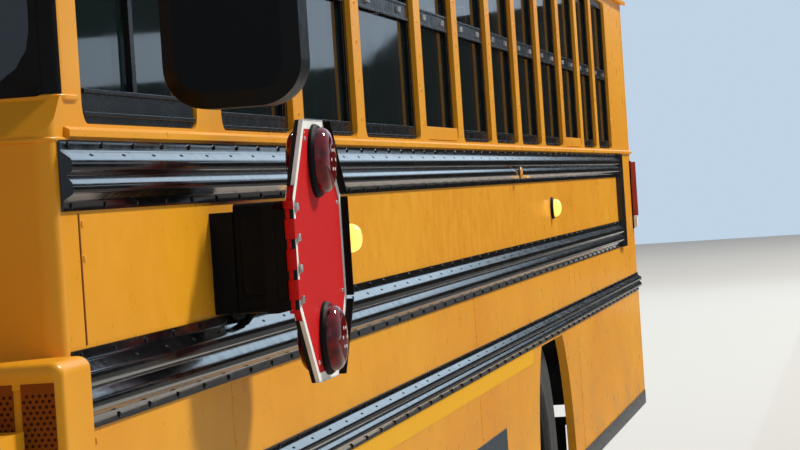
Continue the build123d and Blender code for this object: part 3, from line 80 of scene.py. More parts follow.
class Build:
    """Collects faces of many small solids, then makes one object of them."""

    def __init__(self):
        self.verts = []
        self.faces = []

    def add(self, verts, faces):
        start = len(self.verts)
        self.verts.extend(tuple(v) for v in verts)
        self.faces.extend(tuple(start + index for index in face) for face in faces)

    def loft(self, loops, closed=False):
        """Skin over loops of equally many points, closed on itself or capped at both ends."""
        count = len(loops[0])
        last = (len(loops) - 1) * count
        rows = [(near, near + count) for near in range(0, last, count)]
        if closed:
            rows.append((last, 0))
        faces = []
        for near, far in rows:
            for index in range(count):
                after = (index + 1) % count
                faces.append((near + index, near + after, far + after, far + index))
        if not closed:
            faces += [tuple(reversed(range(count))), tuple(range(last, last + count))]
        self.add([point for loop in loops for point in loop], faces)

    def box(self, low, high):
        """Box between two corners."""
        self.add([(x, y, z) for x in (low[0], high[0]) for y in (low[1], high[1]) for z in (low[2], high[2])],
                 BOX_FACES)

    def prism(self, outline, axis, low, high):
        """Outline of two coordinates drawn along the third, from low to high."""
        self.loft([[place(axis, along, a, b) for a, b in outline] for along in (low, high)])

    def lathe(self, centre, axis, profile, sides=24, closed=True):
        """Profile of (radius, distance along the axis) turned about an axis through the centre."""
        basis = frame_of(axis)
        rings = []
        verts = []
        for radius, along in profile:
            turns = range(sides) if radius else [0]
            rings.append(range(len(verts), len(verts) + len(turns)))
            for index in turns:
                verts.append(Vector(centre) + basis @ Vector((*polar(radius, 360 * index / sides), along)))
        pairs = list(zip(rings, rings[1:]))
        if closed and len(rings[0]) > 1 and len(rings[-1]) > 1:
            pairs.append((rings[-1], rings[0]))
        faces = []
        for lower, upper in pairs:
            for index in range(sides):
                corners = ((lower, index), (lower, index + 1), (upper, index + 1), (upper, index))
                face = tuple(dict.fromkeys(ring[at % len(ring)] for ring, at in corners))
                if len(face) > 2:
                    faces.append(face)
        self.add(verts, faces)

    def disc(self, centre, axis, radius, low, high, sides=24):
        """Cylinder between two distances along the axis."""
        self.lathe(centre, axis, [(0, low), (radius, low), (radius, high), (0, high)], sides)

    def bar(self, start, end, radius, sides=12):
        """Round bar with flat ends."""
        run = Vector(end) - Vector(start)
        self.disc(start, run, radius, 0, run.length, sides)

    def dome(self, centre, axis, radius, height, sides=8):
        """Rivet head."""
        profile = [(radius, 0), (radius * 0.82, height * 0.6), (0, height)]
        self.lathe(centre, axis, profile, sides, closed=False)

    def sweep(self, points, radius, sides=10):
        """Tube along points, with its section turned at each point."""
        points = [Vector(point) for point in points]
        rings = []
        for before, point, after in zip(points[:1] + points, points, points[1:] + points[-1:]):
            basis = frame_of(after - before)
            section = [(*polar(radius, 360 * index / sides), 0) for index in range(sides)]
            rings.append([point + basis @ Vector(spot) for spot in section])
        self.loft(rings)

    def object(self, name, look, slot=None, body="body", bevel=0.0, smooth=30.0):
        """One mesh object that rides on a body; the slot argument is not used."""
        mesh = bpy.data.meshes.new(name)
        mesh.from_pydata(self.verts, [], self.faces)
        mesh.materials.append(MAT[look])
        piece = new_object(name, mesh)
        tidy_normals(mesh, smooth)
        if bevel:
            edge = piece.modifiers.new("edge", "BEVEL")
            edge.width = bevel
            edge.segments = 2
            edge.limit_method = "ANGLE"
            edge.harden_normals = True
        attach(piece, body)
        return piece


def builds(count):
    """Empty collections of faces, one for each piece to make."""
    return [Build() for _ in range(count)]


def new_object(name, data):
    piece = bpy.data.objects.new(name, data)
    bpy.context.scene.collection.objects.link(piece)
    return piece


def polar(radius, degrees):
    """Steps along two axes to a point at a radius and an angle."""
    turn = math.radians(degrees)
    return (radius * math.cos(turn), radius * math.sin(turn))


def arc(a, b, radius, angles):
    """Points about (a, b) at the angles."""
    return [(a + x, b + y) for x, y in (polar(radius, angle) for angle in angles)]


def place(axis, along, a, b):
    """Point with a and b on the two axes other than the given one."""
    return {"x": (along, a, b), "y": (a, along, b), "z": (a, b, along)}[axis]


def frame_of(axis):
    """Rotation whose Z points along the axis."""
    return Vector(axis).normalized().to_track_quat("Z", "Y").to_matrix()


def tidy_normals(mesh, angle_deg):
    """Faces point outwards, and edges sharper than the angle stay sharp."""
    work = bmesh.new()
    work.from_mesh(mesh)
    bmesh.ops.recalc_face_normals(work, faces=work.faces)
    for face in work.faces:
        face.smooth = True
    for edge in work.edges:
        edge.smooth = edge.calc_face_angle(0.0) < math.radians(angle_deg)
    work.to_mesh(mesh)
    work.free()


def islands(node):
    """Lowest and highest corner of each separate solid of a CAD node."""
    work = bmesh.new()
    work.from_mesh(NODES[node].data)
    bmesh.ops.remove_doubles(work, verts=work.verts, dist=1e-5)
    seen = set()
    found = []
    for seed in work.verts:
        if seed in seen:
            continue
        seen.add(seed)
        solid = [seed]
        for vert in solid:
            for edge in vert.link_edges:
                other = edge.other_vert(vert)
                if other not in seen:
                    seen.add(other)
                    solid.append(other)
        found.append(tuple(Vector([pick(vert.co[axis] for vert in solid) for axis in range(3)])
                           for pick in (min, max)))
    work.free()
    return found


def spaced(start, end, pitch):
    """Places from start to end, evenly spaced at about the pitch."""
    count = max(1, round(abs(end - start) / pitch))
    return [start + (end - start) * index / count for index in range(count + 1)]


# Materials

def srgb(red, green, blue):
    """Linear colour of an sRGB one given in 0 to 255."""
    values = []
    for value in (red, green, blue):
        share = value / 255
        values.append(share / 12.92 if share <= 0.04045 else ((share + 0.055) / 1.055) ** 2.4)
    return (*values, 1.0)


def socket(material, name):
    return material.node_tree.nodes["Principled BSDF"].inputs[name]


def shader(name, colour, rough, metallic=0.0, coat=0.0, coat_rough=0.05, **more):
    """Principled surface; more sets sockets that have a name of one word, such as IOR."""
    material = bpy.data.materials.new(name)
    material.use_nodes = True
    values = {"Base Color": colour, "Roughness": rough, "Metallic": metallic, "Coat Weight": coat,
              "Coat Roughness": coat_rough, **more}
    for key, value in values.items():
        socket(material, key).default_value = value
    return material


def node(owner, kind, feeds, **settings):
    """Shader node of a material or world; a feed is a number, a colour or another node's output."""
    made = owner.node_tree.nodes.new("ShaderNode" + kind)
    for key, value in settings.items():
        setattr(made, key, value)
    for key, value in feeds.items():
        if isinstance(value, bpy.types.NodeSocket):
            owner.node_tree.links.new(value, made.inputs[key])
        else:
            made.inputs[key].default_value = value
    return made


def own_space(material):
    """The object's own coordinates."""
    return node(material, "TexCoord", {}).outputs["Object"]


def noise(material, scale, detail, stretch=(1, 1, 1)):
    """Noise in the object's own coordinates."""
    mapped = node(material, "Mapping", {"Vector": own_space(material), "Scale": stretch})
    feeds = {"Vector": mapped.outputs["Vector"], "Scale": scale, "Detail": detail}
    return node(material, "TexNoise", feeds).outputs["Fac"]


def cells(material, scale):
    """Distance from the middles of small cells."""
    return node(material, "TexVoronoi", {"Vector": own_space(material), "Scale": scale}).outputs["Distance"]


def ramp(material, fac, low, high, low_at=0.35, high_at=0.7):
    """Two colours, or two greys, along a factor."""
    made = node(material, "ValToRGB", {"Fac": fac})
    for stop, colour, position in zip(made.color_ramp.elements, (low, high), (low_at, high_at)):
        stop.position = position
        stop.color = colour
    return made.outputs["Color"]


def grey(value):
    return (value, value, value, 1.0)


def bump(material, height, strength, distance):
    made = node(material, "Bump", {"Strength": strength, "Distance": distance, "Height": height})
    wire(material, made.outputs["Normal"], "Normal")


def wire(material, output, name):
    material.node_tree.links.new(output, socket(material, name))


def blend_colour(material, base, tint, fac):
    """Colour that goes from base to tint by a factor output."""
    return node(material, "Mix", {6: base, 7: tint, 0: fac}, data_type="RGBA").outputs[2]


def height_fade(material, low_z, high_z):
    """Factor that is 1 at low_z and 0 at high_z."""
    split = node(material, "SeparateXYZ", {"Vector": own_space(material)})
    feeds = {"Value": split.outputs["Z"], "From Min": low_z, "From Max": high_z, "To Min": 1.0, "To Max": 0.0}
    return node(material, "MapRange", feeds).outputs["Result"]


def times(material, first, second):
    return node(material, "Math", {0: first, 1: second}, operation="MULTIPLY").outputs[0]


def film(material, base, dirt, spots, low_at, high_at, share):
    """Base colour with a thin film of dirt on it, in spots."""
    cover = times(material, ramp(material, spots, grey(0.0), grey(1.0), low_at, high_at), share)
    wire(material, blend_colour(material, base, dirt, cover), "Base Color")


def rough_drift(material, spots, low, high):
    """Roughness that varies between two values."""
    wire(material, ramp(material, spots, grey(low), grey(high)), "Roughness")


YELLOW = srgb(238, 166, 36)
YELLOW_DEEP = srgb(216, 128, 12)
ROAD_DUST = srgb(150, 120, 84)


def yellow_paint():
    """Enamel over sheet: a little colour drift, and road dust low down."""
    material = shader("yellow_enamel", YELLOW, 0.34, coat=0.05, coat_rough=0.09, IOR=1.25)
    drift = ramp(material, noise(material, 1.3, 4), grey(0.0), grey(0.45))
    painted = blend_colour(material, YELLOW, YELLOW_DEEP, drift)
    patches = ramp(material, noise(material, 5.0, 8, (0.5, 1, 1.6)), grey(0.0), grey(1.0), 0.42, 0.75)
    dust = times(material, times(material, height_fade(material, 0.45, 1.15), patches), 0.4)
    wire(material, blend_colour(material, painted, ROAD_DUST, dust), "Base Color")
    rough_drift(material, noise(material, 14.0, 6), 0.27, 0.38)
    return material


def gloss_black():
    """Black enamel on the rails, with a film of dust on it."""
    black = srgb(10, 10, 12)
    material = shader("gloss_black", black, 0.14)
    film(material, black, srgb(88, 84, 78), noise(material, 9.0, 8, (0.4, 1, 2)), 0.5, 0.8, 0.10)
    rough_drift(material, noise(material, 30.0, 5), 0.09, 0.18)
    bump(material, noise(material, 5.0, 1, (0.5, 1, 1)), 0.15, 0.002)
    return material


def satin_black(name, level, rough):
    """Dull black paint or metal with a film of dust; its level is the sRGB value."""
    black = srgb(level, level, level + 1)
    material = shader(name, black, rough, IOR=1.22)
    film(material, black, srgb(96, 90, 82), noise(material, 7.0, 4), 0.45, 0.8, 0.07)
    rough_drift(material, noise(material, 30.0, 3), rough - 0.06, rough + 0.06)
    return material


def grimy_metal(name, colour, rough, metallic, grime=srgb(70, 60, 48)):
    material = shader(name, colour, rough, metallic)
    patch = ramp(material, noise(material, 11.0, 8), grey(0.0), grey(0.75), 0.42, 0.72)
    wire(material, blend_colour(material, colour, grime, patch), "Base Color")
    rough_drift(material, noise(material, 40.0, 5), rough - 0.12, rough + 0.18)
    bump(material, noise(material, 160.0, 5), 0.25, 0.0015)
    return material


def glass():
    """Tinted safety glass, made mostly opaque and near-black: painted shade of the dim inside, which shows
    through only a little, with a clear sheen.
    """
    material = shader("tinted_glass_painted_shade", srgb(20, 34, 36), 0.03, IOR=1.62, Alpha=0.72)
    rough_drift(material, noise(material, 3.0, 2), 0.02, 0.06)
    return material


def clear_glass():
    """Clear lens with its moulded ripple."""
    material = shader("clear_lens", srgb(232, 238, 240), 0.03, Alpha=0.18)
    bump(material, noise(material, 70.0, 2), 0.15, 0.001)
    return material


def rubber():
    """Tyre rubber, dusty in spots."""
    material = shader("tyre_rubber", srgb(30, 30, 31), 0.75)
    film(material, srgb(27, 27, 28), srgb(104, 96, 84), noise(material, 60.0, 8), 0.4, 0.75, 0.2)
    bump(material, noise(material, 220.0, 3), 0.25, 0.0012)
    return material


def vinyl():
    """Grained seat vinyl."""
    material = shader("seat_vinyl", srgb(40, 62, 58), 0.5)
    worn = ramp(material, noise(material, 6.0, 5), grey(0.0), grey(0.5))
    wire(material, blend_colour(material, srgb(34, 56, 52), srgb(58, 78, 72), worn), "Base Color")
    bump(material, cells(material, 260.0), 0.3, 0.0008)
    return material


def plastic(name, colour, rough):
    material = shader(name, colour, rough, IOR=1.2)
    rough_drift(material, noise(material, 50.0, 4), rough - 0.06, rough + 0.08)
    bump(material, noise(material, 520.0, 2), 0.12, 0.0005)
    return material


def ribbed_floor():
    """Black floor rubber with ribs along the aisle."""
    material = shader("ribbed_rubber", srgb(40, 40, 41), 0.7)
    wave = node(material, "TexWave", {"Vector": own_space(material), "Scale": 22.0}, bands_direction="Y")
    wire(material, ramp(material, noise(material, 12.0, 6), srgb(32, 32, 33), srgb(70, 66, 60)), "Base Color")
    bump(material, wave.outputs["Fac"], 0.35, 0.002)
    return material


def lens(name, colour, emit=0.0):
    """Moulded lamp lens, ribbed inside."""
    material = shader(name, colour, 0.12, coat=0.6, coat_rough=0.03)
    pips = cells(material, 130.0)
    dark = tuple(value * 0.55 for value in colour[:3]) + (1.0,)
    wire(material, ramp(material, pips, dark, colour, 0.05, 0.6), "Base Color")
    bump(material, pips, 0.35, 0.001)
    if emit:
        socket(material, "Emission Color").default_value = colour
        socket(material, "Emission Strength").default_value = emit
    return material


def red_lens():
    """Clear red lens with a bright dome."""
    material = shader("red_lens_glass", srgb(120, 6, 8), 0.06, coat=0.25, coat_rough=0.02, IOR=1.3)
    socket(material, "Transmission Weight").default_value = 0.35
    wire(material, ramp(material, noise(material, 60.0, 3), srgb(92, 4, 6), srgb(150, 12, 12)), "Base Color")
    return material


def sign_sheet(name, colour):
    """Retroreflective sheeting with its fine cell pattern."""
    material = shader(name, colour, 0.4, IOR=1.14)
    pattern = cells(material, 190.0)
    light = tuple(min(1.0, value * 1.12 + 0.01) for value in colour[:3]) + (1.0,)
    wire(material, ramp(material, pattern, colour, light, 0.1, 0.5), "Base Color")
    bump(material, pattern, 0.08, 0.0003)
    return material


MAT = {
    "yellow_paint": yellow_paint(),
    "black_paint": gloss_black(),
    "chassis_black": satin_black("chassis_black", 22, 0.6),
    "cast_metal": grimy_metal("cast_metal", srgb(72, 70, 68), 0.6, 0.4),
    "steel": grimy_metal("dull_steel", srgb(128, 126, 122), 0.45, 0.7),
    "sash_black": satin_black("sash_black", 9, 0.26),
    "window_glass": glass(),
    "floor_rubber": ribbed_floor(),
    "seat_vinyl": vinyl(),
    "dash_plastic": plastic("dash_plastic", srgb(46, 46, 48), 0.55),
    "housing_plastic": plastic("housing_plastic", srgb(5, 6, 7), 0.4),
    "tyre_rubber": rubber(),
    "rim_paint": satin_black("rim_black", 24, 0.4),
    "lamp_red": lens("lens_red", srgb(176, 16, 14)),
    "lamp_clear": lens("lens_clear", srgb(214, 218, 220)),
    "sign_red": sign_sheet("sheet_red", srgb(192, 15, 16)),
    "grey_paint": grimy_metal("hatch_grey", srgb(196, 194, 186), 0.5, 0.0, srgb(150, 144, 132)),
    # Looks that only the added pieces have
    "amber": lens("lens_amber", srgb(250, 168, 24)),
    "amber_lit": lens("lens_amber_lit", srgb(255, 190, 84), 1.7),
    "white_sheet": sign_sheet("sheet_white", srgb(232, 232, 228)),
    "yellow_tape": sign_sheet("tape_yellow", srgb(220, 162, 16)),
    "alloy": grimy_metal("alloy_edge", srgb(222, 224, 226), 0.38, 0.6, srgb(184, 184, 182)),
    "slate": plastic("slate_panel", srgb(52, 62, 70), 0.4),
    "plate": plastic("blank_plate", srgb(236, 236, 232), 0.45),
    # yellow-painted vent sheet, coloured darker and browner as painted shade
    "mesh_sheet_painted_shade": plastic("mesh_sheet_painted_shade", srgb(136, 68, 10), 0.55),
    "bolt": grimy_metal("bolt_zinc", srgb(190, 190, 186), 0.35, 0.9, srgb(120, 112, 100)),
    "seal": plastic("seal_rubber", srgb(18, 18, 19), 0.6),
    "joint": plastic("paint_joint", srgb(112, 56, 12), 0.6),
    "mirror": shader("mirror_glass", srgb(205, 208, 210), 0.04, 1.0),
    # near-black of painted shade inside the drain slots of the rails
    "slot_painted_shade": plastic("dark_recess", srgb(16, 14, 12), 0.8),
    # dark discs of painted shade where the mesh has its holes
    "hole_painted_shade": plastic("hole_painted_shade", srgb(58, 28, 8), 0.8),
    "rivet_black": plastic("rivet_black", srgb(20, 20, 22), 0.22),
    "red_glass": red_lens(),
    "clear_glass": clear_glass(),
}


def dress_cad():
    """Every carried-over CAD node gets its slot's material."""
    for name, piece in NODES.items():
        piece.data.materials.clear()
        piece.data.materials.append(MAT[SLOTS[name]])


# Stage

def camera():
    """Looks along the driver's side; the bus's long lines meet at VANISH_PX."""
    along = Vector(((VANISH_PX[0] - PHOTO_W / 2) / FOCAL_PX, (VANISH_PX[1] - PHOTO_H / 2) / FOCAL_PX, 1.0))
    back = along.normalized()                       # world -X, in (right, down, forward)
    down = Vector((*reversed(polar(1, ROLL_DEG)), 0.0))
    down = (down - down.dot(back) * back).normalized()
    left = down.cross(back)                         # world +Y
    right_w, down_w, ahead_w = Matrix((-back, left, -down)).transposed()
    data = bpy.data.cameras.new("camera")
    data.sensor_width = SENSOR_MM
    data.lens = FOCAL_PX * SENSOR_MM / PHOTO_W
    data.clip_end = 200.0
    view = new_object("camera", data)
    view.matrix_world = Matrix.Translation(EYE) @ Matrix((right_w, -down_w, -ahead_w)).transposed().to_4x4()
    bpy.context.scene.camera = view


def area_light(name, place_at, look_at, size, power, colour):
    data = bpy.data.lights.new(name, "AREA")
    data.shape = "RECTANGLE"
    data.size, data.size_y = size
    data.energy = power
    data.color = colour
    light = new_object(name, data)
    light.location = place_at
    light.rotation_euler = (Vector(look_at) - Vector(place_at)).to_track_quat("-Z", "Y").to_euler()


def sheet_object(name, corners, material):
    """One flat face on the stage."""
    mesh = bpy.data.meshes.new(name)
    mesh.from_pydata(corners, [], [tuple(range(len(corners)))])
    mesh.materials.append(material)
    panel = new_object(name, mesh)
    return panel


def flag(name, corners):
    """Dark studio flag: only reflections meet it, so the gloss has something dark to show."""
    panel = sheet_object(name, corners, shader(name + "_cloth", srgb(34, 30, 27), 0.9))
    panel.visible_camera = False
    panel.visible_diffuse = False
    panel.visible_shadow = False


def sky(world):
    """Pale backdrop: dim as a light, brighter where the camera, gloss and glass see it."""
    nodes = world.node_tree.nodes
    light = nodes["Background"]
    light.inputs["Color"].default_value = (0.84, 0.90, 1.0, 1.0)
    light.inputs["Strength"].default_value = 0.27
    seen = node(world, "Background", {"Color": (0.62, 0.77, 0.93, 1.0), "Strength": 0.85})
    path = node(world, "LightPath", {}).outputs
    either = node(world, "Math", {0: path["Is Camera Ray"], 1: path["Is Glossy Ray"]}, operation="MAXIMUM")
    feeds = {0: either.outputs[0], 1: path["Is Transmission Ray"]}
    any_of = node(world, "Math", feeds, operation="MAXIMUM")
    mix = node(world, "MixShader", {0: any_of.outputs[0], 1: light.outputs[0], 2: seen.outputs[0]})
    world.node_tree.links.new(mix.outputs[0], nodes["World Output"].inputs["Surface"])


def stage():
    """Pale floor and world, the flags, and the soft lamps."""
    scene = bpy.context.scene
    scene.view_settings.view_transform = "Standard"
    scene.world = bpy.data.worlds.new("studio")
    scene.world.use_nodes = True
    sky(scene.world)
    pale = shader("floor_pale", srgb(214, 214, 212), 0.9)
    wire(pale, ramp(pale, noise(pale, 90.0, 2), srgb(190, 190, 188), srgb(195, 195, 193)), "Base Color")
    sheet_object("floor", [(x, y, 0) for x, y in ((-60, -60), (60, -60), (60, 60), (-60, 60))], pale)
    far, middle, near = FLAG_X
    for name, x, corners in (
            ("side_flag", middle, ((3.2, 0.01), (16.0, 0.01), (16.0, 2.95), (5.8, 3.05), (5.2, 3.5),
                                   (3.2, 3.6))),
            ("high_flag", middle, ((7.0, 3.6), (16.0, 3.6), (16.0, 7.0), (7.0, 7.0))),
            ("rear_flag", far, ((-14.0, 0.012), (4.6, 0.012), (4.6, 6.2), (-14.0, 6.2)))):
        flag(name, [(x, y, z) for y, z in corners])
    flag("floor_flag", [(x, y, 0.012) for x, y in ((middle, 1.6), (near, 1.6), (near, 16.0), (middle, 16.0))])
    area_light("key", (-30.8, 29.8, 41.1), (3.0, 1.0, 1.4), (7.0, 7.0), 44000, (1.0, 0.95, 0.86))
    area_light("fill", (16.0, 6.0, 7.0), (0.0, 0.0, 1.2), (10.0, 8.0), 90, (0.9, 0.95, 1.0))
    area_light("rim", (-10.0, -14.0, 10.0), (0.0, 0.0, 1.4), (10.0, 8.0), 900, (0.95, 0.97, 1.0))
    area_light("sky_strip", (-32.0, -2.0, 9.5), (0.0, 0.5, 1.6), (26.0, 9.0), 600, (0.62, 0.83, 1.0))


# Rub rails and side trim

RAILS = ((1.010, 1.095), (1.239, 1.355), (1.553, 1.655))
RAIL_OUT, FLANGE_OUT = 0.020, 0.004
# Half-round shoulders and the groove of a rail, as (out from the side, share of its height)
RAIL_SECTION = ((0, 0), (0.004, 0), (0.004, 0.13), (0.0055, 0.155), (0.0185, 0.235), (0.020, 0.26),
                (0.020, 0.36), (0.0187, 0.395), (0.0124, 0.468), (0.011, 0.492), (0.0124, 0.512),
                (0.0187, 0.548), (0.020, 0.57), (0.020, 0.70), (0.0185, 0.735), (0.0055, 0.835),
                (0.004, 0.865), (0.004, 1), (0, 1))
SKIRT_RAIL = (0.470, 0.534)
RIVET = (0.005, 0.0026, 7)       # radius, height and sides of a rivet head
SILL_BEAD = ((0, 1.657), (0.009, 1.660), (0.009, 1.670), (0, 1.675))
DRIP_RAIL = ((0, 2.372), (0.022, 2.366), (0.024, 2.382), (0.004, 2.384), (0, 2.402))
RAIL_FRONT = {1: COWL_X + 0.03, -1: COWL_X - 0.94}
RAIL_BACK = (BACK_X + 0.03, COWL_X - 9.32, COWL_X - 9.32)
DOOR_X = (COWL_X - 0.88, COWL_X - 0.12)      # driver's window, and the doorway opposite
POSTS = (0.98, 1.81, 2.565, 3.525, 4.24, 4.995, 5.69, 6.40, 7.14, 7.86, 8.535, 9.29)
SILL_Z, HEAD_Z = 1.68, 2.33
SASH_Y = SIDE_Y - 0.012
EXIT_WINDOWS = (3, 8)
ARCH = (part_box("tyres_rear_left")[0].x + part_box("tyres_rear_left")[1].x) / 2
ARCH_R = 0.586


def pressed_rails():
    """The rub rails with the rounded shoulders of pressed steel."""
    rails = Build()
    tie = COWL_X - 9.50
    gap = ARCH_R + 0.004
    for side, front in RAIL_FRONT.items():
        for (z0, z1), back in zip(RAILS, RAIL_BACK):
            section = [(side * (SIDE_Y + out), z0 + share * (z1 - z0)) for out, share in RAIL_SECTION]
            rails.prism(section, "x", back, front)
        span_box(rails, tie, tie + 0.18, side, SIDE_Y, SIDE_Y + RAIL_OUT, RAILS[1][0], RAILS[2][1])
        for x0, x1 in ((BACK_X + 0.03, ARCH - gap), (ARCH + gap, front)):
            span_box(rails, x0, x1, side, SIDE_Y, SIDE_Y + FLANGE_OUT, *SKIRT_RAIL)
    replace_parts(rails.object("rub_rails_pressed", "black_paint", smooth=52), "rub_rails")


def rail_fasteners():
    """Rivets along both flanges, and a dark oval of painted shade for each drain slot along the upper slope.
    """
    rivets, slot_shades = builds(2)
    for side in (1, -1):
        for (z0, z1), back in zip(RAILS, RAIL_BACK):
            height = z1 - z0
            places = spaced(RAIL_FRONT[side] - 0.04, back + 0.04, 0.195)
            for x in places:
                for share in (0.065, 0.935):
                    spot = (x, side * (SIDE_Y + FLANGE_OUT), z0 + share * height)
                    rivets.dome(spot, (0, side, 0), 0.0052, 0.0034, 7)
            for x in places[:-1]:
                middle = Vector((x - 0.1, side * (SIDE_Y + 0.0122), z0 + 0.785 * height))
                drain_slot(slot_shades, middle, side, height)
    rivets.object("rail_rivets", "rivet_black", "black_paint")
    slot_shades.object("rail_drain_slot_shades", "slot_painted_shade", "black_paint")


def drain_slot(build, middle, side, height):
    """Dark oval of painted shade for a drain slot, lying on the rail's upper slope."""
    along = Vector((-0.0088 * side, 0, 0))
    up = Vector((0, -side * 0.013, 0.10 * height)).normalized() * 0.0028
    out = Vector((0, side * 0.10 * height, 0.013)).normalized()
    outline = [middle + along * a + up * b for a, b in arc(0, 0, 1, range(0, 360, 45))]
    build.loft([[point + out * level for point in outline] for level in (-0.001, 0.0006)])


def side_trim():
    """Sill bead, reflective tape, panel joints with their rivets, and the drip rail over the windows."""
    yellow, tape, rivets = builds(3)
    for side in (1, -1):
        face = side * SIDE_Y
        start = COWL_X - 0.01 if side == 1 else RAIL_FRONT[side]
        for section, front in ((SILL_BEAD, start), (DRIP_RAIL, COWL_X - 0.01)):
            yellow.prism([(face + side * out, z) for out, z in section], "x", BACK_X, front)
        span_box(tape, ARCH + ARCH_R + 0.02, start, side, SIDE_Y, SIDE_Y + 0.0012, 0.960, 1.008)
        for index, post in enumerate(POSTS):
            x = COWL_X - post - 0.05
            if side == -1 and index == 0:
                continue
            for z in spaced(1.72, 2.34, 0.09):
                rivets.dome((COWL_X - post, face, z), (0, side, 0), *RIVET)
            for z0, z1 in ((0.54, 0.955), (1.099, 1.235)):
                if index % 4 or (z0 < 1 and abs(x - ARCH) < ARCH_R + 0.1):
                    continue
                span_box(yellow, x - 0.02, x + 0.02, side, SIDE_Y, SIDE_Y + 0.0007, z0, z1)
                for z in spaced(z0 + 0.03, z1 - 0.03, 0.09):
                    rivets.dome((x + 0.009, side * (SIDE_Y + 0.0007), z), (0, side, 0), 0.0044, 0.0022, 7)
    yellow.object("side_trim", "yellow_paint", bevel=0.0006)
    tape.object("reflective_tape", "yellow_tape", "yellow_paint")
    rivets.object("side_rivets", "yellow_paint")


def front_corner():
    """Lap of the left side sheet on the cowl with its screws, and the crease below the windshield."""
    sheet, screws, crease = builds(3)
    x = COWL_X - 0.062
    for z0, z1 in ((1.359, 1.549), (1.099, 1.235)):
        sheet.box((x, SIDE_Y, z0), (x + 0.006, SIDE_Y + 0.0012, z1))
        for z in (z1 - 0.015, z1 - 0.065):
            screws.dome((x - 0.014, SIDE_Y, z), (0, 1, 0), 0.0065, 0.0035, 10)
    sheet.object("cowl_side_joint", "joint", "yellow_paint")
    tree = skin_tree("front_wall")
    line = [hit(tree, (7.0, y, CREASE_Z), (-1, 0, 0)) for y in spaced(0.0, 1.14, 0.06)]
    for angle in range(12, 73, 12):
        toward = Vector((*polar(1, angle), 0))
        line.append(hit(tree, Vector((COWL_X - 0.035, SIDE_Y - 0.045, CREASE_Z)) + toward, -toward))
    for side in (1, -1):
        crease.sweep([(spot.x, side * spot.y, spot.z) for spot in line if spot], 0.004)
    crease.object("cowl_crease", "yellow_paint", smooth=60)
    screws.object("cowl_side_screws", "yellow_paint")


# Windows

def window_spans():
    """Front and rear x of each passenger window, from the front."""
    spans = []
    for index in range(len(POSTS) - 1):
        width = 0.19 if index == 0 else 0.11
        spans.append((COWL_X - POSTS[index] - width / 2, COWL_X - POSTS[index + 1] + 0.055))
    return spans


def window_details():
    """Sash ledges, uprights and thumb latches, the exit windows' sills, and the driver's window ledges."""
    black, metal, yellow = builds(3)
    middle = (SILL_Z + HEAD_Z) / 2
    for side in (1, -1):
        for index, (front, rear) in enumerate(window_spans()):
            for z, out in ((SILL_Z + 0.004, 0.006), (SILL_Z + 0.028, 0.003), (middle - 0.022, 0.003),
                           (middle + 0.016, 0.003)):
                span_box(black, rear + 0.03, front - 0.03, side, SASH_Y - 0.004, SASH_Y + out, z, z + 0.006)
            for share in (0.22, 0.78):
                x = rear + share * (front - rear)
                span_box(metal, x - 0.022, x + 0.022, side, SASH_Y - 0.003, SASH_Y + 0.006,
                         middle - 0.007, middle + 0.007)
            for x in (front - 0.036, rear + 0.036):
                span_box(black, x - 0.005, x + 0.005, side, SASH_Y - 0.02, SASH_Y - 0.002,
                         SILL_Z + 0.03, HEAD_Z - 0.03)
            if index in EXIT_WINDOWS:
                span_box(yellow, rear + 0.012, front - 0.012, side, SASH_Y - 0.001, SIDE_Y - 0.002,
                         SILL_Z + 0.002, SILL_Z + 0.036)
    rear, front = DOOR_X
    for low, high, out in ((0.001, 0.05, 0.008), (0.012, 0.018, 0.012), (0.046, 0.052, 0.014)):
        span_box(black, rear + 0.012, front - 0.012, 1, SASH_Y - 0.003, SASH_Y + out,
                 SILL_Z + low, SILL_Z + high)
    black.object("sash_ledges", "sash_black", bevel=0.0008)
    metal.object("sash_latches", "bolt", "steel", bevel=0.001)
    yellow.object("exit_window_sills", "yellow_paint", bevel=0.001)


def span_box(build, x0, x1, side, y0, y1, z0, z1):
    """Box on one side of the bus; y0 and y1 are counted outwards."""
    ys = sorted((side * y0, side * y1))
    build.box((x0, ys[0], z0), (x1, ys[1], z1))


# Stop arm

SIGN_X = COWL_X - 1.11
SIGN_Y = SIDE_Y + 0.15
SIGN_Z = 1.457
SIGN_HALF = 0.2285
SIGN_T = 0.006


def octagon(half):
    """Corners of the sign's octagon, half the distance across its flats, as (x, z)."""
    return arc(SIGN_X, SIGN_Z, half / math.cos(math.pi / 8), [22.5 + 45 * index for index in range(8)])


def octagon_edge(build, outer, inner, y0, y1):
    """Strip round the octagon, open on the side of the hinge and shorter beside it."""
    outside, inside = octagon(outer), octagon(inner)
    hinge_x = SIGN_X + outer * 0.99
    gap = 0.03
    for i in range(8):
        a, b, c, d = outside[i], outside[(i + 1) % 8], inside[(i + 1) % 8], inside[i]
        starts, ends = a[0] > hinge_x, b[0] > hinge_x
        if starts and ends:
            continue
        if starts:
            a, d = shorten(a, b, gap), shorten(d, c, gap)
        if ends:
            b, c = shorten(b, a, gap), shorten(c, d, gap)
        build.prism([a, b, c, d], "y", y0, y1)


def octagon_ring(build, outer, inner, y0, y1):
    """Flat ring between two octagons."""
    outside, inside = octagon(outer), octagon(inner)
    build.loft([[(x, y, z) for x, z in points]
                for points, y in ((outside, y0), (outside, y1), (inside, y1), (inside, y0))], closed=True)


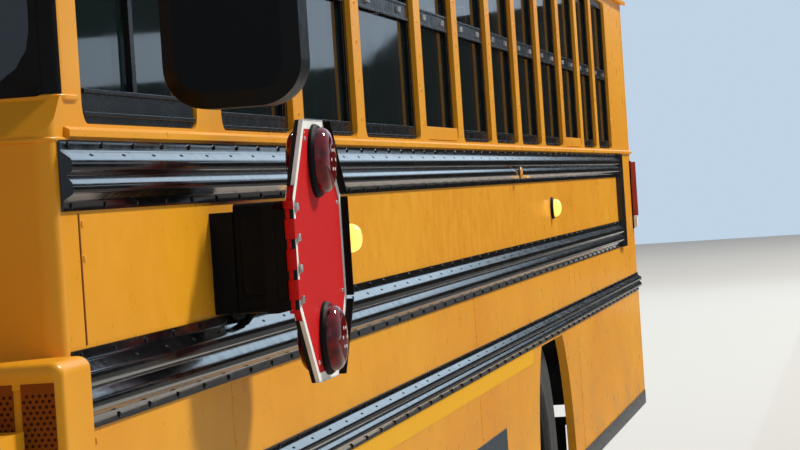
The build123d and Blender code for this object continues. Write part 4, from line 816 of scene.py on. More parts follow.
def stop_sign_details():
    """Border, edge strip, guard, hinge and bolts of the sign, and the two lamps on each of its faces."""
    border, edge, back, guard, bolts, base, glass_ring, diode_glints = builds(8)
    for side in (1, -1):
        face = SIGN_Y + side * SIGN_T
        octagon_ring(border, SIGN_HALF + 0.001, SIGN_HALF - 0.014, face, face + side * 0.0008)
    border.object("stop_sign_border", "white_sheet", "lamp_clear", "stop_arm")
    octagon_edge(edge, SIGN_HALF + 0.0028, SIGN_HALF + 0.0004, SIGN_Y + 0.0005, SIGN_Y + SIGN_T + 0.0012)
    octagon_edge(back, SIGN_HALF + 0.0024, SIGN_HALF + 0.0004, SIGN_Y - SIGN_T - 0.001, SIGN_Y)
    back.object("stop_sign_back_edge", "seal", "steel", "stop_arm")
    edge.object("stop_sign_edge", "alloy", "steel", "stop_arm")
    hinge_strip()
    corners = octagon(SIGN_HALF + 0.0035)
    inner = octagon(SIGN_HALF + 0.0005)
    for start in (2, 3, 4):
        a, b = corners[start], corners[start + 1]
        c, d = inner[start + 1], inner[start]
        quad = [shorten(*ends, 0.004) for ends in ((a, b), (b, a), (c, d), (d, c))]
        guard.prism(quad, "y", SIGN_Y - 0.014, SIGN_Y + 0.021)
    guard.object("stop_sign_guard", "housing_plastic", None, "stop_arm", bevel=0.0006)
    for step in (-1.5, -0.5, 0.5, 1.5):
        for side in (1, -1):
            spot = (SIGN_X + SIGN_HALF - 0.014, SIGN_Y + side * SIGN_T, SIGN_Z + step * 0.053)
            hex_bolt(bolts, spot, (0, side, 0), 0.0075, 0.007)
    for x, z in octagon(SIGN_HALF - 0.032):
        bolts.dome((x, SIGN_Y + SIGN_T, z), (0, 1, 0), 0.0045, 0.0028)
    bolts.object("stop_sign_bolts", "bolt", "steel", "stop_arm")
    base_profile = [(0.054, 0), (0.0655, 0), (0.0655, 0.006), (0.062, 0.011), (0.0575, 0.0115)]
    lens_profile = [(0.0558, 0.008), (0.0592, 0.0085), (0.0590, 0.015), (0.0575, 0.021), (0.0535, 0.0265),
                    (0.047, 0.0305), (0.038, 0.033), (0.026, 0.0342), (0.012, 0.0347), (0.0, 0.0348)]
    for side in (1, -1):
        for lift in (0.158, -0.158):
            centre = Vector((SIGN_X, SIGN_Y + side * SIGN_T, SIGN_Z + lift))
            base.lathe(centre, (0, side, 0), base_profile, 40)
            glass_ring.lathe(centre, (0, side, 0), lens_profile, 40, closed=False)
            # six pale dots on each lens mark the diodes, coloured as their painted highlight
            for x, z in arc(centre.x, centre.z, 0.019, range(0, 360, 60)):
                diode_glints.dome((x, centre.y + side * 0.0336, z), (0, side, 0), 0.0038, 0.0020)
    base.object("stop_lamp_bases", "seal", "housing_plastic", "stop_arm")
    glass_ring.object("stop_lamp_lenses", "red_glass", "lamp_red", "stop_arm", smooth=50)
    diode_glints.object("stop_lamp_diode_glints", "plate", "lamp_clear", "stop_arm")


STOP_KNUCKLES = ((1.361, 1.3777), (1.4123, 1.429), (1.465, 1.4817), (1.5163, 1.533))


def hinge_strip():
    """Red sheath round the front of the sign's hinge, and the plate that closes the gap to the box."""
    axis_x = SIGN_X + SIGN_HALF + 0.008
    swing, still, plate = builds(3)
    edges = [1.355] + [z for span in STOP_KNUCKLES for z in span] + [1.548]
    for index, (z0, z1) in enumerate(zip(edges, edges[1:])):
        build, reach = (still, range(-60, 16, 15)) if index % 2 else (swing, range(-80, 71, 15))
        outline = arc(axis_x, SIGN_Y, 0.0096, reach) + arc(axis_x, SIGN_Y, 0.0081, reversed(reach))
        build.prism(outline, "z", z0 + 0.0003, z1 - 0.0003)
    swing.object("stop_hinge_sheath", "sign_red", None, "stop_arm")
    still.object("stop_hinge_lugs", "sign_red")
    plate.box((axis_x - 0.004, SIDE_Y + 0.120, 1.361), (axis_x + 0.006, SIGN_Y - 0.0100, 1.533))
    plate.object("stop_hinge_plate", "housing_plastic", bevel=0.001)


def shorten(start, end, gap):
    """Point moved from start towards end by the gap."""
    a, b = Vector(start), Vector(end)
    return tuple(a + (b - a).normalized() * gap)


def hex_bolt(build, centre, axis, radius, height):
    """Hexagon head on a washer."""
    build.disc(centre, axis, radius * 1.45, 0, height * 0.25, 14)
    head = [(0, height * 0.2), (radius, height * 0.2), (radius, height * 0.85), (radius * 0.8, height),
            (0, height)]
    build.lathe(centre, axis, head, 6)


def stop_housing_details():
    """Cover plate, side ribs, screws and conduit of the actuator box."""
    low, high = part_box("stop_arm_housing")
    x1 = COWL_X - 0.93
    x0 = x1 - 0.18
    out = SIDE_Y + 0.123
    plates, screws, conduit = builds(3)
    plates.box((x0 + 0.02, out - 0.001, low.z + 0.035), (x1 - 0.045, out + 0.003, high.z - 0.02))
    plates.box((x1 - 0.001, SIDE_Y + 0.05, low.z + 0.03), (x1 + 0.003, out - 0.014, high.z - 0.018))
    plates.box((x1 - 0.038, out - 0.002, low.z + 0.02), (x1 - 0.030, out + 0.006, high.z - 0.01))
    plates.object("stop_housing_cover", "housing_plastic", bevel=0.0015)
    for z in (low.z + 0.045, high.z - 0.035):
        for y in (SIDE_Y + 0.06, out - 0.024):
            hex_bolt(screws, (x1 + 0.003, y, z), (1, 0, 0), 0.004, 0.003)
        for x in (x0 + 0.032, x1 - 0.056):
            hex_bolt(screws, (x, out + 0.003, z), (0, 1, 0), 0.004, 0.003)
    screws.object("stop_housing_screws", "rivet_black", "housing_plastic")
    path = ((0.03, 0.03, 0.03), (0.012, 0.028, -0.006), (0.006, 0.014, -0.02), (0.004, -0.002, -0.024))
    conduit.sweep([(x0 + x, SIDE_Y + y, low.z + z) for x, y, z in path], 0.007)
    conduit.object("stop_housing_conduit", "seal", "housing_plastic")


# Lamps along the body

def lamp_dome(base, lens_build, centre, axis, radius, out):
    """Round marker lamp: black bezel and ribbed dome."""
    bezel = ((0, 0), (1.22, 0), (1.22, 0.16), (1.05, 0.3), (0, 0.3))
    dome = ((1, 0.1), (1, 0.3), (0.95, 0.52), (0.82, 0.74), (0.6, 0.9), (0.3, 0.98), (0, 1))
    base.lathe(centre, axis, [(radius * r, out * z) for r, z in bezel])
    lens_build.lathe(centre, axis, [(radius * r, out * z) for r, z in dome], closed=False)


def marker_lamps():
    """Lamps along the sides and round the roof, and the upright markers at the rear corners."""
    bezels, amber, lit, red, pale = builds(5)
    for side in (1, -1):
        for back in (2.26, 6.51):
            lamp_dome(bezels, lit, (COWL_X - back, side * SIDE_Y, 1.457), (0, side, 0), 0.032, 0.036)
        lamp_dome(bezels, amber, (COWL_X - 5.43, side * (SIDE_Y + RAIL_OUT), 1.585), (0, side, 0), 0.02, 0.01)
        x = BACK_X + 0.036
        span_box(bezels, x, x + 0.052, side, SIDE_Y - 0.001, SIDE_Y + 0.006, 1.305, 1.625)
        span_box(red, x + 0.004, x + 0.048, side, SIDE_Y, SIDE_Y + 0.026, 1.365, 1.620)
        span_box(pale, x + 0.004, x + 0.048, side, SIDE_Y, SIDE_Y + 0.022, 1.310, 1.362)
    for y in (0.22, 0.95, -0.22, -0.95, 0):
        z = roof_height(y) - 0.10
        lamp_dome(bezels, amber, (COWL_X, y, z), (1, 0, 0), 0.026, 0.03)
        lamp_dome(bezels, red, (BACK_X, y, z), (-1, 0, 0), 0.026, 0.03)
    bezels.object("marker_bezels", "seal", "housing_plastic", smooth=40)
    amber.object("marker_lenses_amber", "amber", "lamp_red", smooth=50)
    lit.object("side_marker_lenses", "amber_lit", "lamp_red", smooth=50)
    red.object("marker_lenses_red", "lamp_red", smooth=50)
    pale.object("corner_reflectors", "plate", "lamp_clear", bevel=0.002)


EAVE_R, CROWN_Z = 0.45, 3.06


def roof_curve(lift=0.0, steps=9):
    """Points of the roof's outside from the left eave to the right, as (y, z)."""
    eave_y = SIDE_Y - EAVE_R
    rise = CROWN_Z - EAVE_Z
    crown_r = (eave_y ** 2 + rise ** 2 - EAVE_R ** 2) / (2 * (rise - EAVE_R))
    middle = CROWN_Z - crown_r
    angle = math.degrees(math.atan2(EAVE_Z - middle, eave_y))
    step = (90 - angle) / steps
    eave = arc(eave_y, EAVE_Z, EAVE_R + lift, [angle * index / steps for index in range(steps)])
    crown = arc(0, middle, crown_r + lift, [angle + step * index for index in range(2 * steps + 1)])
    return eave + crown + [(-y, z) for y, z in reversed(eave)]


def roof_height(y):
    """Height of the roof's outside at y."""
    points = roof_curve()
    for (ya, za), (yb, zb) in zip(points, points[1:]):
        if yb <= y <= ya:
            return za + (zb - za) * (ya - y) / (ya - yb)
    return EAVE_Z


def roof_ribs():
    """Pressed bows over the roof, and rivets along each eave."""
    ribs, rivets = builds(2)
    outer = roof_curve(0.006)
    inner = roof_curve(-0.002)
    for x in [COWL_X - 0.16] + [COWL_X - post for post in POSTS[1:]] + [BACK_X + 0.14]:
        spans = [(0, len(outer))]
        if any(abs(x - middle) < 0.36 for middle in HATCH_X):
            cut = [i for i, (y, _) in enumerate(outer) if abs(y) < 0.36]
            spans = [(0, cut[0]), (cut[-1] + 1, len(outer))]
        for low, high in spans:
            ribs.loft([[(x - 0.028, *foot), (x - 0.016, *top), (x + 0.016, *top), (x + 0.028, *foot)]
                       for top, foot in zip(outer[low:high], inner[low:high])])
    for side in (1, -1):
        for x in spaced(COWL_X - 0.05, BACK_X + 0.05, 0.12):
            rivets.dome((x, side * SIDE_Y, 2.415), (0, side, 0), *RIVET)
    ribs.object("roof_bows", "yellow_paint", smooth=35)
    rivets.object("eave_rivets", "yellow_paint")


def vent_mesh():
    """Perforated sheets over the front of the cowl boxes: yellow sheet in a darker colour of painted shade,
    and each hole as a dark disc of painted shade.
    """
    sheets, hole_shades = builds(2)
    low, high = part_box("cowl_vent_boxes")
    front = high.x
    for side in (1, -1):
        for column in range(3):
            y1 = SIDE_Y + 0.023 - column * 0.059
            span_box(sheets, front - 0.004, front + 0.0008, side, y1 - 0.047, y1,
                     low.z + 0.06, high.z - 0.027)
            for row in range(int((high.z - low.z - 0.096) / 0.0075)):
                z = low.z + 0.066 + row * 0.0075
                for k in range(5):
                    y = y1 - 0.0435 + k * 0.009 + (0.0 if row % 2 else 0.0045)
                    if y < y1 - 0.0015:
                        # each hole is a flat dark disc of painted shade, not an opening
                        hole = arc(side * y, z, 0.0026, range(0, 360, 60))
                        hole_shades.add([(front + 0.0011, *corner) for corner in hole], [tuple(range(6))])
    sheets.object("cowl_vent_sheets", "mesh_sheet_painted_shade", "yellow_paint")
    hole_shades.object("cowl_vent_hole_shades", "hole_painted_shade", "yellow_paint")


# Wheels

RIM_FACE = 1.1335       # outer edge of the rims, from the middle of the bus
TREAD_BLOCKS = 56
WHEELS = (
    ("tyre_front_left", "wheel_front_left", "front", 1),
    ("tyre_front_right", "wheel_front_right", "front", -1),
    ("tyres_rear_left", "wheels_rear_left", "rear", 1),
    ("tyres_rear_right", "wheels_rear_right", "rear", -1),
)


def tyre_profile():
    """Half section from the bead to the middle of the tread, as (radius, out from the middle)."""
    return [(0.2905, 0.0975), (0.303, 0.0985), (0.309, 0.108), (0.322, 0.1215), (0.338, 0.128),
            (0.342, 0.1305), (0.348, 0.1305), (0.352, 0.1292), (0.385, 0.1362), (0.425, 0.1388),
            (0.455, 0.1378), (0.460, 0.1392), (0.468, 0.1388), (0.472, 0.1362), (0.488, 0.1305),
            (0.503, 0.1215), (0.510, 0.112), (0.511, 0.1035), (0.511, 0.070), (0.5235, 0.0695),
            (0.5240, 0.0345), (0.511, 0.0335), (0.511, 0.024), (0.5242, 0.0232), (0.5245, 0.0)]


def tyre(build, centre):
    profile = tyre_profile()
    build.lathe(centre, (0, 1, 0), profile + [(radius, -out) for radius, out in reversed(profile[:-1])], 72)
    for row, (low, high) in enumerate(((0.074, 0.1065), (-0.1065, -0.074))):
        for index in range(TREAD_BLOCKS):
            tread_block(build, centre, 2 * math.pi * (index + 0.5 * row) / TREAD_BLOCKS, low, high)


def tread_block(build, centre, angle, low, high):
    """Shoulder block of the tread: it tapers down the shoulder."""
    turn = Matrix.Rotation(angle, 3, "Y")
    verts = []
    for along in (-0.0225, 0.0225):
        for y in (low, high):
            outer = 0.5238 if abs(y) < 0.09 else 0.5195
            verts.append(centre + turn @ Vector((along, y, 0.508)))
            verts.append(centre + turn @ Vector((along * 0.94, y, outer)))
    build.add(verts, BOX_FACES)


def tyres():
    for node_name, body, _, _ in WHEELS:
        build = Build()
        for low, high in islands(node_name):
            tyre(build, (low + high) / 2)
        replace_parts(build.object(node_name + "_treaded", "tyre_rubber", None, body, smooth=38), node_name)


def hubs():
    """Nuts, studs, hub caps and valves on each wheel."""
    cap = [(0.0, 0.0), (0.078, 0.0), (0.078, 0.006), (0.066, 0.010), (0.062, 0.028), (0.054, 0.034),
           (0.030, 0.036), (0.028, 0.040), (0.0, 0.041)]
    bead = [(0.2865, 0.0), (0.3015, 0.0), (0.3030, 0.0035), (0.2985, 0.0065), (0.2885, 0.0045)]
    for node_name, body, kind, side in WHEELS:
        low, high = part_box(node_name)
        x, z = (low.x + high.x) / 2, (low.z + high.z) / 2
        metal, rim = builds(2)
        face, hub_end = (1.087, 1.135) if kind == "front" else (0.879, 1.015)
        for a, b in arc(x, z, 0.142, range(18, 360, 36)):
            wheel_nut(metal, (a, side * face, b), (0, side, 0))
        metal.lathe((x, side * hub_end, z), (0, side, 0), cap, 32)
        for a, b in arc(x, z, 0.070, range(0, 360, 45)):
            hex_bolt(metal, (a, side * (hub_end + 0.006), b), (0, side, 0), 0.006, 0.006)
        metal.object("hub_" + body, "bolt", "steel", body, smooth=35)
        rim.lathe((x, side * (RIM_FACE - 0.0003), z), (0, side, 0), bead, 64)
        rim.bar((x + 0.235, side * (face + 0.01), z + 0.08), (x + 0.238, side * (face + 0.055), z + 0.083),
                0.004, 8)
        rim.object("rim_bead_" + body, "rim_paint", None, body, smooth=40)


def wheel_nut(build, centre, axis):
    build.disc(centre, axis, 0.023, 0, 0.004, 16)
    build.lathe(centre, axis, [(0, 0.004), (0.0165, 0.004), (0.0165, 0.019), (0.013, 0.022), (0, 0.022)], 6)
    build.lathe(centre, axis, [(0, 0.02), (0.0095, 0.02), (0.0095, 0.034), (0.0075, 0.036), (0, 0.036)], 10)


# Seats

BENCH_LEAN, DRIVER_LEAN = 0.07, 0.08       # how far a back's top stands behind its foot


def rounded_points(half_a, half_b, radius, steps=4):
    """Outline of a rounded rectangle about the origin."""
    points = []
    for a, b, start in ((1, 1, 0), (-1, 1, 90), (-1, -1, 180), (1, -1, 270)):
        angles = [start + 90 * index / steps for index in range(steps + 1)]
        points += arc(a * (half_a - radius), b * (half_b - radius), radius, angles)
    return points


def padded_mesh(name, size, crown, channels):
    """Cushion about the origin: crowned faces, sides that pull in, and sewn channels across it.

    Its size is (thickness, width, height); the crown grows on the thickness."""
    thick, wide, high = size
    columns, rows = 26, 18

    def point(u, v, front):
        edge = min(1.0, (1 - abs(u) ** 4) * 1.05) * min(1.0, (1 - abs(v) ** 4) * 1.05)
        depth = thick / 2 - crown + crown * max(0.0, edge) ** 0.5
        if channels and front:
            phase = (v + 1) / 2 * channels
            if 0 < round(phase) < channels:
                depth -= 0.007 * math.exp(-(abs(phase - round(phase)) * 9) ** 2)
        pull_u = 1 - 0.012 * (1 - abs(v) ** 2) * abs(u) ** 6
        pull_v = 1 - 0.02 * (1 - abs(u) ** 2) * abs(v) ** 6
        return (depth if front else -depth, u * wide / 2 * pull_u, v * high / 2 * pull_v)

    verts = [point(2 * i / columns - 1, 2 * j / rows - 1, front)
             for front in (True, False) for j in range(rows + 1) for i in range(columns + 1)]
    stride = columns + 1
    count = stride * (rows + 1)
    faces = []
    for layer in (0, count):
        for j in range(rows):
            for i in range(columns):
                a = layer + j * stride + i
                quad = (a, a + 1, a + stride + 1, a + stride)
                faces.append(quad if layer == 0 else tuple(reversed(quad)))
    rim = list(range(stride))
    rim += [j * stride + columns for j in range(1, rows + 1)]
    rim += [rows * stride + i for i in range(columns - 1, -1, -1)]
    rim += [j * stride for j in range(rows - 1, 0, -1)]
    for a, b in zip(rim, rim[1:] + rim[:1]):
        faces.append((a, a + count, b + count, b))
    mesh = bpy.data.meshes.new(name)
    mesh.from_pydata(verts, [], faces)
    return mesh


def settle(piece, pressure, cap):
    """Blow the cushion up a little with cloth, and keep what it settles to."""
    rest = [v.co.copy() for v in piece.data.vertices]
    cloth = piece.modifiers.new("cloth", "CLOTH")
    settings = cloth.settings
    settings.use_pressure = True
    settings.uniform_pressure_force = pressure
    settings.effector_weights.gravity = 0.0
    settings.quality = 5
    settings.tension_stiffness = 25
    settings.compression_stiffness = 25
    settings.bending_stiffness = 2.0
    scene = bpy.context.scene
    for number in range(1, 13):
        scene.frame_set(number)
    shape = piece.evaluated_get(bpy.context.evaluated_depsgraph_get())
    moved = [v.co.copy() for v in shape.data.vertices]
    piece.modifiers.remove(cloth)
    scene.frame_set(1)
    for vert, start, end in zip(piece.data.vertices, rest, moved):
        shift = end - start
        vert.co = start + (shift.normalized() * cap if shift.length > cap else shift)


def pad_shape(name, size, crown, channels):
    """Finished cushion mesh that the benches share."""
    mesh = padded_mesh(name, size, crown, channels)
    tidy_normals(mesh, 70)
    piece = new_object(name, mesh)
    settle(piece, 3.0, 0.005)
    for vert in mesh.vertices:
        vert.co = [max(-side / 2, min(side / 2, at)) for side, at in zip(size, vert.co)]
    bpy.data.objects.remove(piece)
    mesh.materials.append(MAT["seat_vinyl"])
    return mesh


def set_pad(name, mesh, low, high, lean):
    """Cushion or back, turned from upright by the lean and placed on its CAD solid."""
    piece = new_object(name, mesh)
    piece.location = (low + high) / 2
    piece.rotation_euler = (0, -lean, 0)
    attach(piece, "body")
    return piece


def seats():
    """Padded cushion and back for each bench, shared meshes placed on the CAD's solids."""
    backs, cushions, driver = [], [], []
    for low, high in islands("seats"):
        group = driver if high.y - low.y < 0.6 else backs if high.z - low.z > 0.3 else cushions
        group.append((low, high))
    low, high = backs[0]
    deep, wide, tall = high - low
    deep -= BENCH_LEAN
    angle = math.atan2(BENCH_LEAN, tall)
    height = tall / math.cos(angle) - deep * math.sin(angle)
    size = (deep * math.cos(angle) - 0.004, wide - 0.004, height - 0.01)
    back_mesh = pad_shape("bench_back", size, 0.016, 0)
    low, high = cushions[0]
    deep, wide, tall = high - low
    cushion_mesh = pad_shape("bench_cushion", (tall - 0.004, wide - 0.004, deep - 0.006), 0.022, 0)
    placed = []
    for kind, group, mesh, lean in (("back", backs, back_mesh, angle),
                                    ("cushion", cushions, cushion_mesh, math.pi / 2)):
        for index, (low, high) in enumerate(sorted(group, key=lambda c: (-c[0].x, c[0].y))):
            placed.append(set_pad("bench_%s_%02d" % (kind, index), mesh, low, high, lean))
    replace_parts(placed[0], "seats")
    driver_seat(driver)


def driver_seat(parts):
    """Cushion and back on the lowest and the highest of the seat's CAD solids."""
    parts = sorted(parts, key=lambda c: c[1].z)
    low, high = parts[0]
    deep, wide, tall = high - low
    mesh = pad_shape("driver_cushion", (tall - 0.004, wide - 0.004, deep - 0.004), 0.03, 3)
    set_pad("driver_cushion", mesh, low, high, math.pi / 2)
    low, high = parts[-1]
    deep, wide, tall = high - low
    angle = math.atan2(DRIVER_LEAN, tall)
    thick = (deep - DRIVER_LEAN) * math.cos(angle) - 0.004
    height = tall / math.cos(angle) - thick * math.sin(angle)
    mesh = pad_shape("driver_back", (thick, wide - 0.004, height - 0.01), 0.028, 4)
    set_pad("driver_back", mesh, low, high, angle)


# Lamps, mirrors and seals at the ends

def rounded_frame(build, axis, at, out, centre, outer, inner, radius, hole=None):
    """Rounded rectangular ring on a face; centre, outer and inner are in the face's two axes."""
    big = rounded_points(*outer, radius)
    small = rounded_points(*inner, hole or max(0.004, radius - (outer[0] - inner[0])))
    loops = ((big, 0), (big, 0.7), (shrink(big, 0.002), 1), (shrink(small, -0.001), 1), (small, 0.7),
             (small, 0))
    build.loft([[place(axis, at + out * level, centre[0] + a, centre[1] + b) for a, b in points]
                for points, level in loops], closed=True)


def shrink(points, by):
    """Outline about the origin, drawn in by about the given amount."""
    return [(a * (1 - by / max(abs(a), 0.02)), b * (1 - by / max(abs(b), 0.02))) for a, b in points]


def span_frame(build, axis, at, out, low, high, width, radius):
    """Ring whose inner edge overlaps an opening from low to high."""
    centre = [(a + b) / 2 for a, b in zip(low, high)]
    half = [abs(b - a) / 2 for a, b in zip(low, high)]
    outer, inner = [h + width for h in half], [h - 0.006 for h in half]
    rounded_frame(build, axis, at, out, centre, outer, inner, radius + width)


def end_seals():
    """Rubber round the end windows and the glass of the doors, and the lip below the windshield.

    The slate-coloured panel low on the left skirt is made here too."""
    body, lips, slate, rear = builds(4)
    x, y = COWL_X - CORNER_R, SIDE_Y - CORNER_R
    for side in (1, -1):
        centre = (side * (SHIELD_HALF + 0.03) / 2, (SHIELD_HIGH + SHIELD_LOW) / 2)
        half = ((SHIELD_HALF - 0.03) / 2, (SHIELD_HIGH - SHIELD_LOW) / 2)
        rounded_frame(body, "x", COWL_X - 0.0005, 0.007, centre, (half[0], half[1] + 0.006),
                      (half[0] - 0.012, half[1] - 0.012), 0.008, 0.08)
        wrap = arc(x, y, 0.0325, range(0, 66, 13)) + arc(x, y, 0.0295, range(65, -1, -13))
        body.prism([(a, side * b) for a, b in wrap], "z", SHIELD_LOW - 0.003, 2.44)
        lip = [(COWL_X, 0.02), *arc(x, y, 0.035, range(0, 91, 15)), (COWL_X - 0.088, SIDE_Y + 0.005),
               (COWL_X - 0.088, y), (x, y)]
        lips.prism([(a, side * b) for a, b in lip], "z", 1.712, 1.7215)
    span_box(slate, COWL_X - 4.81, COWL_X - 4.06, 1, SIDE_Y, SIDE_Y + 0.003, 0.56, 0.82)
    for side in (1, -1):
        span_frame(body, "x", BACK_X + 0.0005, -0.008, (side * 0.64, 1.70), (side * 1.09, 2.33), 0.020, 0.06)
    body.object("end_window_seals", "seal", "sash_black", smooth=40)
    lips.object("windshield_lip", "yellow_paint", bevel=0.003, smooth=40)
    slate.object("skirt_slate_panels", "slate", "black_paint", bevel=0.001)
    for z0, z1 in ((1.16, 1.57), (1.68, 2.33)):
        span_frame(rear, "x", BACK_X + 0.0005, -0.008, (-0.37, z0), (0.37, z1), 0.018, 0.05)
    rear.object("rear_door_seals", "seal", "sash_black", "rear_emergency_door", smooth=40)
    for end in ("front", "rear"):
        leaf = Build()
        for low, high in islands("entry_glass_" + end):
            span_frame(leaf, "y", -SIDE_Y + 0.0005, -0.006, (low.x, low.z), (high.x, high.z), 0.014, 0.04)
        leaf.object("seals_entry_leaf_" + end, "seal", "sash_black", "entry_leaf_" + end, smooth=40)


def mirror_glass():
    """Flat glass above and a wide-angle glass below in each rear view mirror, and domes on the fenders."""
    glasses, clips, domes = builds(3)
    back = COWL_X + 0.005
    for low, high in islands("rear_view_mirrors"):
        centre = low.y + 0.098 if high.y <= 0 else high.y - 0.098
        for z0, z1 in ((1.905, 2.155), (1.715, 1.885)):
            points = [(centre + a, (z0 + z1) / 2 + b) for a, b in rounded_points(0.085, (z1 - z0) / 2, 0.022)]
            glasses.prism(points, "x", back - 0.002, back + 0.001)
        clips.disc((COWL_X + 0.05, centre, 2.232), (0, 0, 1), 0.017, -0.018, 0.018, 14)
    glasses.object("mirror_glasses", "mirror", "lamp_clear", bevel=0.0006)
    clips.object("mirror_clamps", "rivet_black", "housing_plastic", bevel=0.001)
    profile = [(0.112, -0.004), (0.108, 0.002), (0.090, 0.0075), (0.06, 0.012), (0.03, 0.0145), (0, 0.0155)]
    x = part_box("crossview_mirrors")[1].x - 0.0008
    for low, high in islands("crossview_mirrors"):
        domes.lathe((x, 1.05 if high.y > 0 else -1.05, 1.59), (1, 0, 0), profile, 36, closed=False)
    domes.object("crossview_domes", "mirror", "lamp_clear", "hood", smooth=60)


def warning_lamps():
    """Ribbed lens and hood over each flashing lamp, red outside and amber inside."""
    red, amber, hoods = builds(3)
    profile = [(0.0935, 0.0), (0.0935, 0.034), (0.0885, 0.040), (0.086, 0.044), (0.080, 0.0455),
               (0.078, 0.0435), (0.062, 0.048), (0.060, 0.0465), (0.040, 0.050), (0.038, 0.0485),
               (0.0, 0.051)]
    for x, out in ((COWL_X + 0.03, 1), (BACK_X - 0.03, -1)):
        for side in (1, -1):
            for y, build in ((0.56, amber), (0.80, red)):
                centre = Vector((x, side * y, 2.70))
                build.lathe(centre, (out, 0, 0), profile, 40, closed=False)
                lamp_hood(hoods, centre, out)
    red.object("warning_lenses_red", "lamp_red", smooth=50)
    amber.object("warning_lenses_amber", "amber", "lamp_red", smooth=50)
    hoods.object("warning_lamp_hoods", "seal", "black_paint", smooth=40)


def lamp_hood(build, centre, out):
    """Curved sheet over the top half of a lamp."""
    loops = []
    for index in range(17):
        angle = -20 + 220 * index / 16
        reach = out * 0.075 * (0.45 + 0.55 * max(0.0, math.sin(math.radians(angle))))
        loops.append([centre + Vector((depth, *polar(radius, angle)))
                      for radius, depth in ((0.103, 0), (0.103, reach), (0.1045, reach), (0.1045, 0))])
    build.loft(loops)


def tail_lamps():
    """Stop, turn and reversing lamps on the rear wall, each with its bezel."""
    red, amber, clear, bezels = builds(4)
    ring = ((0, 0), (0.012, 0), (0.012, 0.012), (0.004, 0.018), (0.001, 0.018))
    rings = ((0.95, 0.0335), (0.72, 0.036), (0.70, 0.0345), (0.42, 0.0375), (0.40, 0.036), (0, 0.038))
    for y, z, radius, build in ((1.010, 1.480, 0.088, red), (0.780, 1.480, 0.088, amber),
                                (1.090, 1.250, 0.050, clear)):
        bezel = [(radius + wider, out) for wider, out in ring]
        dome = [(radius + 0.0012, 0.012), (radius + 0.0012, 0.028)]
        dome += [(radius * share, out) for share, out in rings]
        for side in (1, -1):
            bezels.lathe((BACK_X, side * y, z), (-1, 0, 0), bezel, 40)
            build.lathe((BACK_X, side * y, z), (-1, 0, 0), dome, 40, closed=False)
    bezels.object("tail_bezels", "seal", "housing_plastic", smooth=40)
    red.object("tail_lenses_red", "lamp_red", smooth=50)
    amber.object("tail_lenses_amber", "amber", "lamp_red", smooth=50)
    clear.object("tail_lenses_clear", "lamp_clear", smooth=50)


def skin_tree(node):
    """Surface of a CAD node, to set small fittings on."""
    work = bmesh.new()
    work.from_mesh(NODES[node].data)
    tree = BVHTree.FromBMesh(work)
    work.free()
    return tree


def hit(tree, start, toward):
    return tree.ray_cast(Vector(start), Vector(toward))[0]


def hood_details():
    """Pressed ridges, side louvres, the rubber latches and the screen behind the grille."""
    tree = skin_tree("hood")
    pressed, straps, hooks, mesh = builds(4)
    for side in (1, -1):
        inward = (0, -side, 0)
        ridge = [hit(tree, (x, side * 0.24, 3.0), (0, 0, -1)) for x in spaced(4.45, 5.80, 0.135)]
        pressed.sweep(ridge, 0.006, 8)
        for x in spaced(4.82, 5.24, 0.07):
            pressed.bar(*(hit(tree, (x, side * 1.7, z), inward) for z in (1.34, 1.46)), 0.008, 10)
        out = abs(hit(tree, (4.45, side * 1.7, 1.40), inward).y)
        span_box(straps, 4.432, 4.468, side, out - 0.03, out + 0.014, 1.345, 1.455)
        hooks.bar((4.415, side * (out + 0.016), 1.44), (4.485, side * (out + 0.016), 1.44), 0.007)
        span_box(hooks, 4.425, 4.475, side, out - 0.03, out + 0.010, 1.325, 1.350)
    pressed.object("hood_pressings", "yellow_paint", None, "hood", smooth=50)
    straps.object("hood_latches", "seal", "housing_plastic", "hood", bevel=0.005)
    hooks.object("hood_latch_hooks", "bolt", "steel", "hood", bevel=0.001)
    low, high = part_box("grille")
    mesh.box((low.x - 0.016, low.y + 0.006, low.z + 0.006), (low.x - 0.004, high.y - 0.006, high.z - 0.006))
    for y in spaced(low.y + 0.03, high.y - 0.03, 0.03):
        mesh.box((low.x - 0.006, y - 0.002, low.z + 0.01), (low.x - 0.001, y + 0.002, high.z - 0.01))
    mesh.object("grille_screen", "sash_black", None, "hood")


def wipers():
    """Two wipers parked along the lower edge of the windshield."""
    arms, blades = builds(2)
    for side in (1, -1):
        pivot = Vector((COWL_X + 0.004, side * 0.12, 1.738))
        arms.lathe(pivot, (1, 0, 0), [(0, 0), (0.017, 0), (0.017, 0.012), (0.011, 0.030), (0, 0.030)], 18)
        arms.sweep([pivot + Vector((0.022, 0, 0)), pivot + Vector((0.028, side * 0.12, 0.012)),
                    (COWL_X + 0.024, side * 0.60, 1.796)], 0.0055)
        start = Vector((COWL_X + 0.016, side * 0.33, 1.776))
        end = Vector((COWL_X + 0.016, side * 0.87, 1.816))
        arms.sweep([start, (start + end) / 2 + Vector((0.006, 0, 0)), end], 0.005)
        blades.bar(start - Vector((0.010, 0, 0)), end - Vector((0.010, 0, 0)), 0.0045, 8)
    arms.object("wiper_arms", "sash_black", smooth=50)
    blades.object("wiper_blades", "seal", "sash_black", smooth=50)


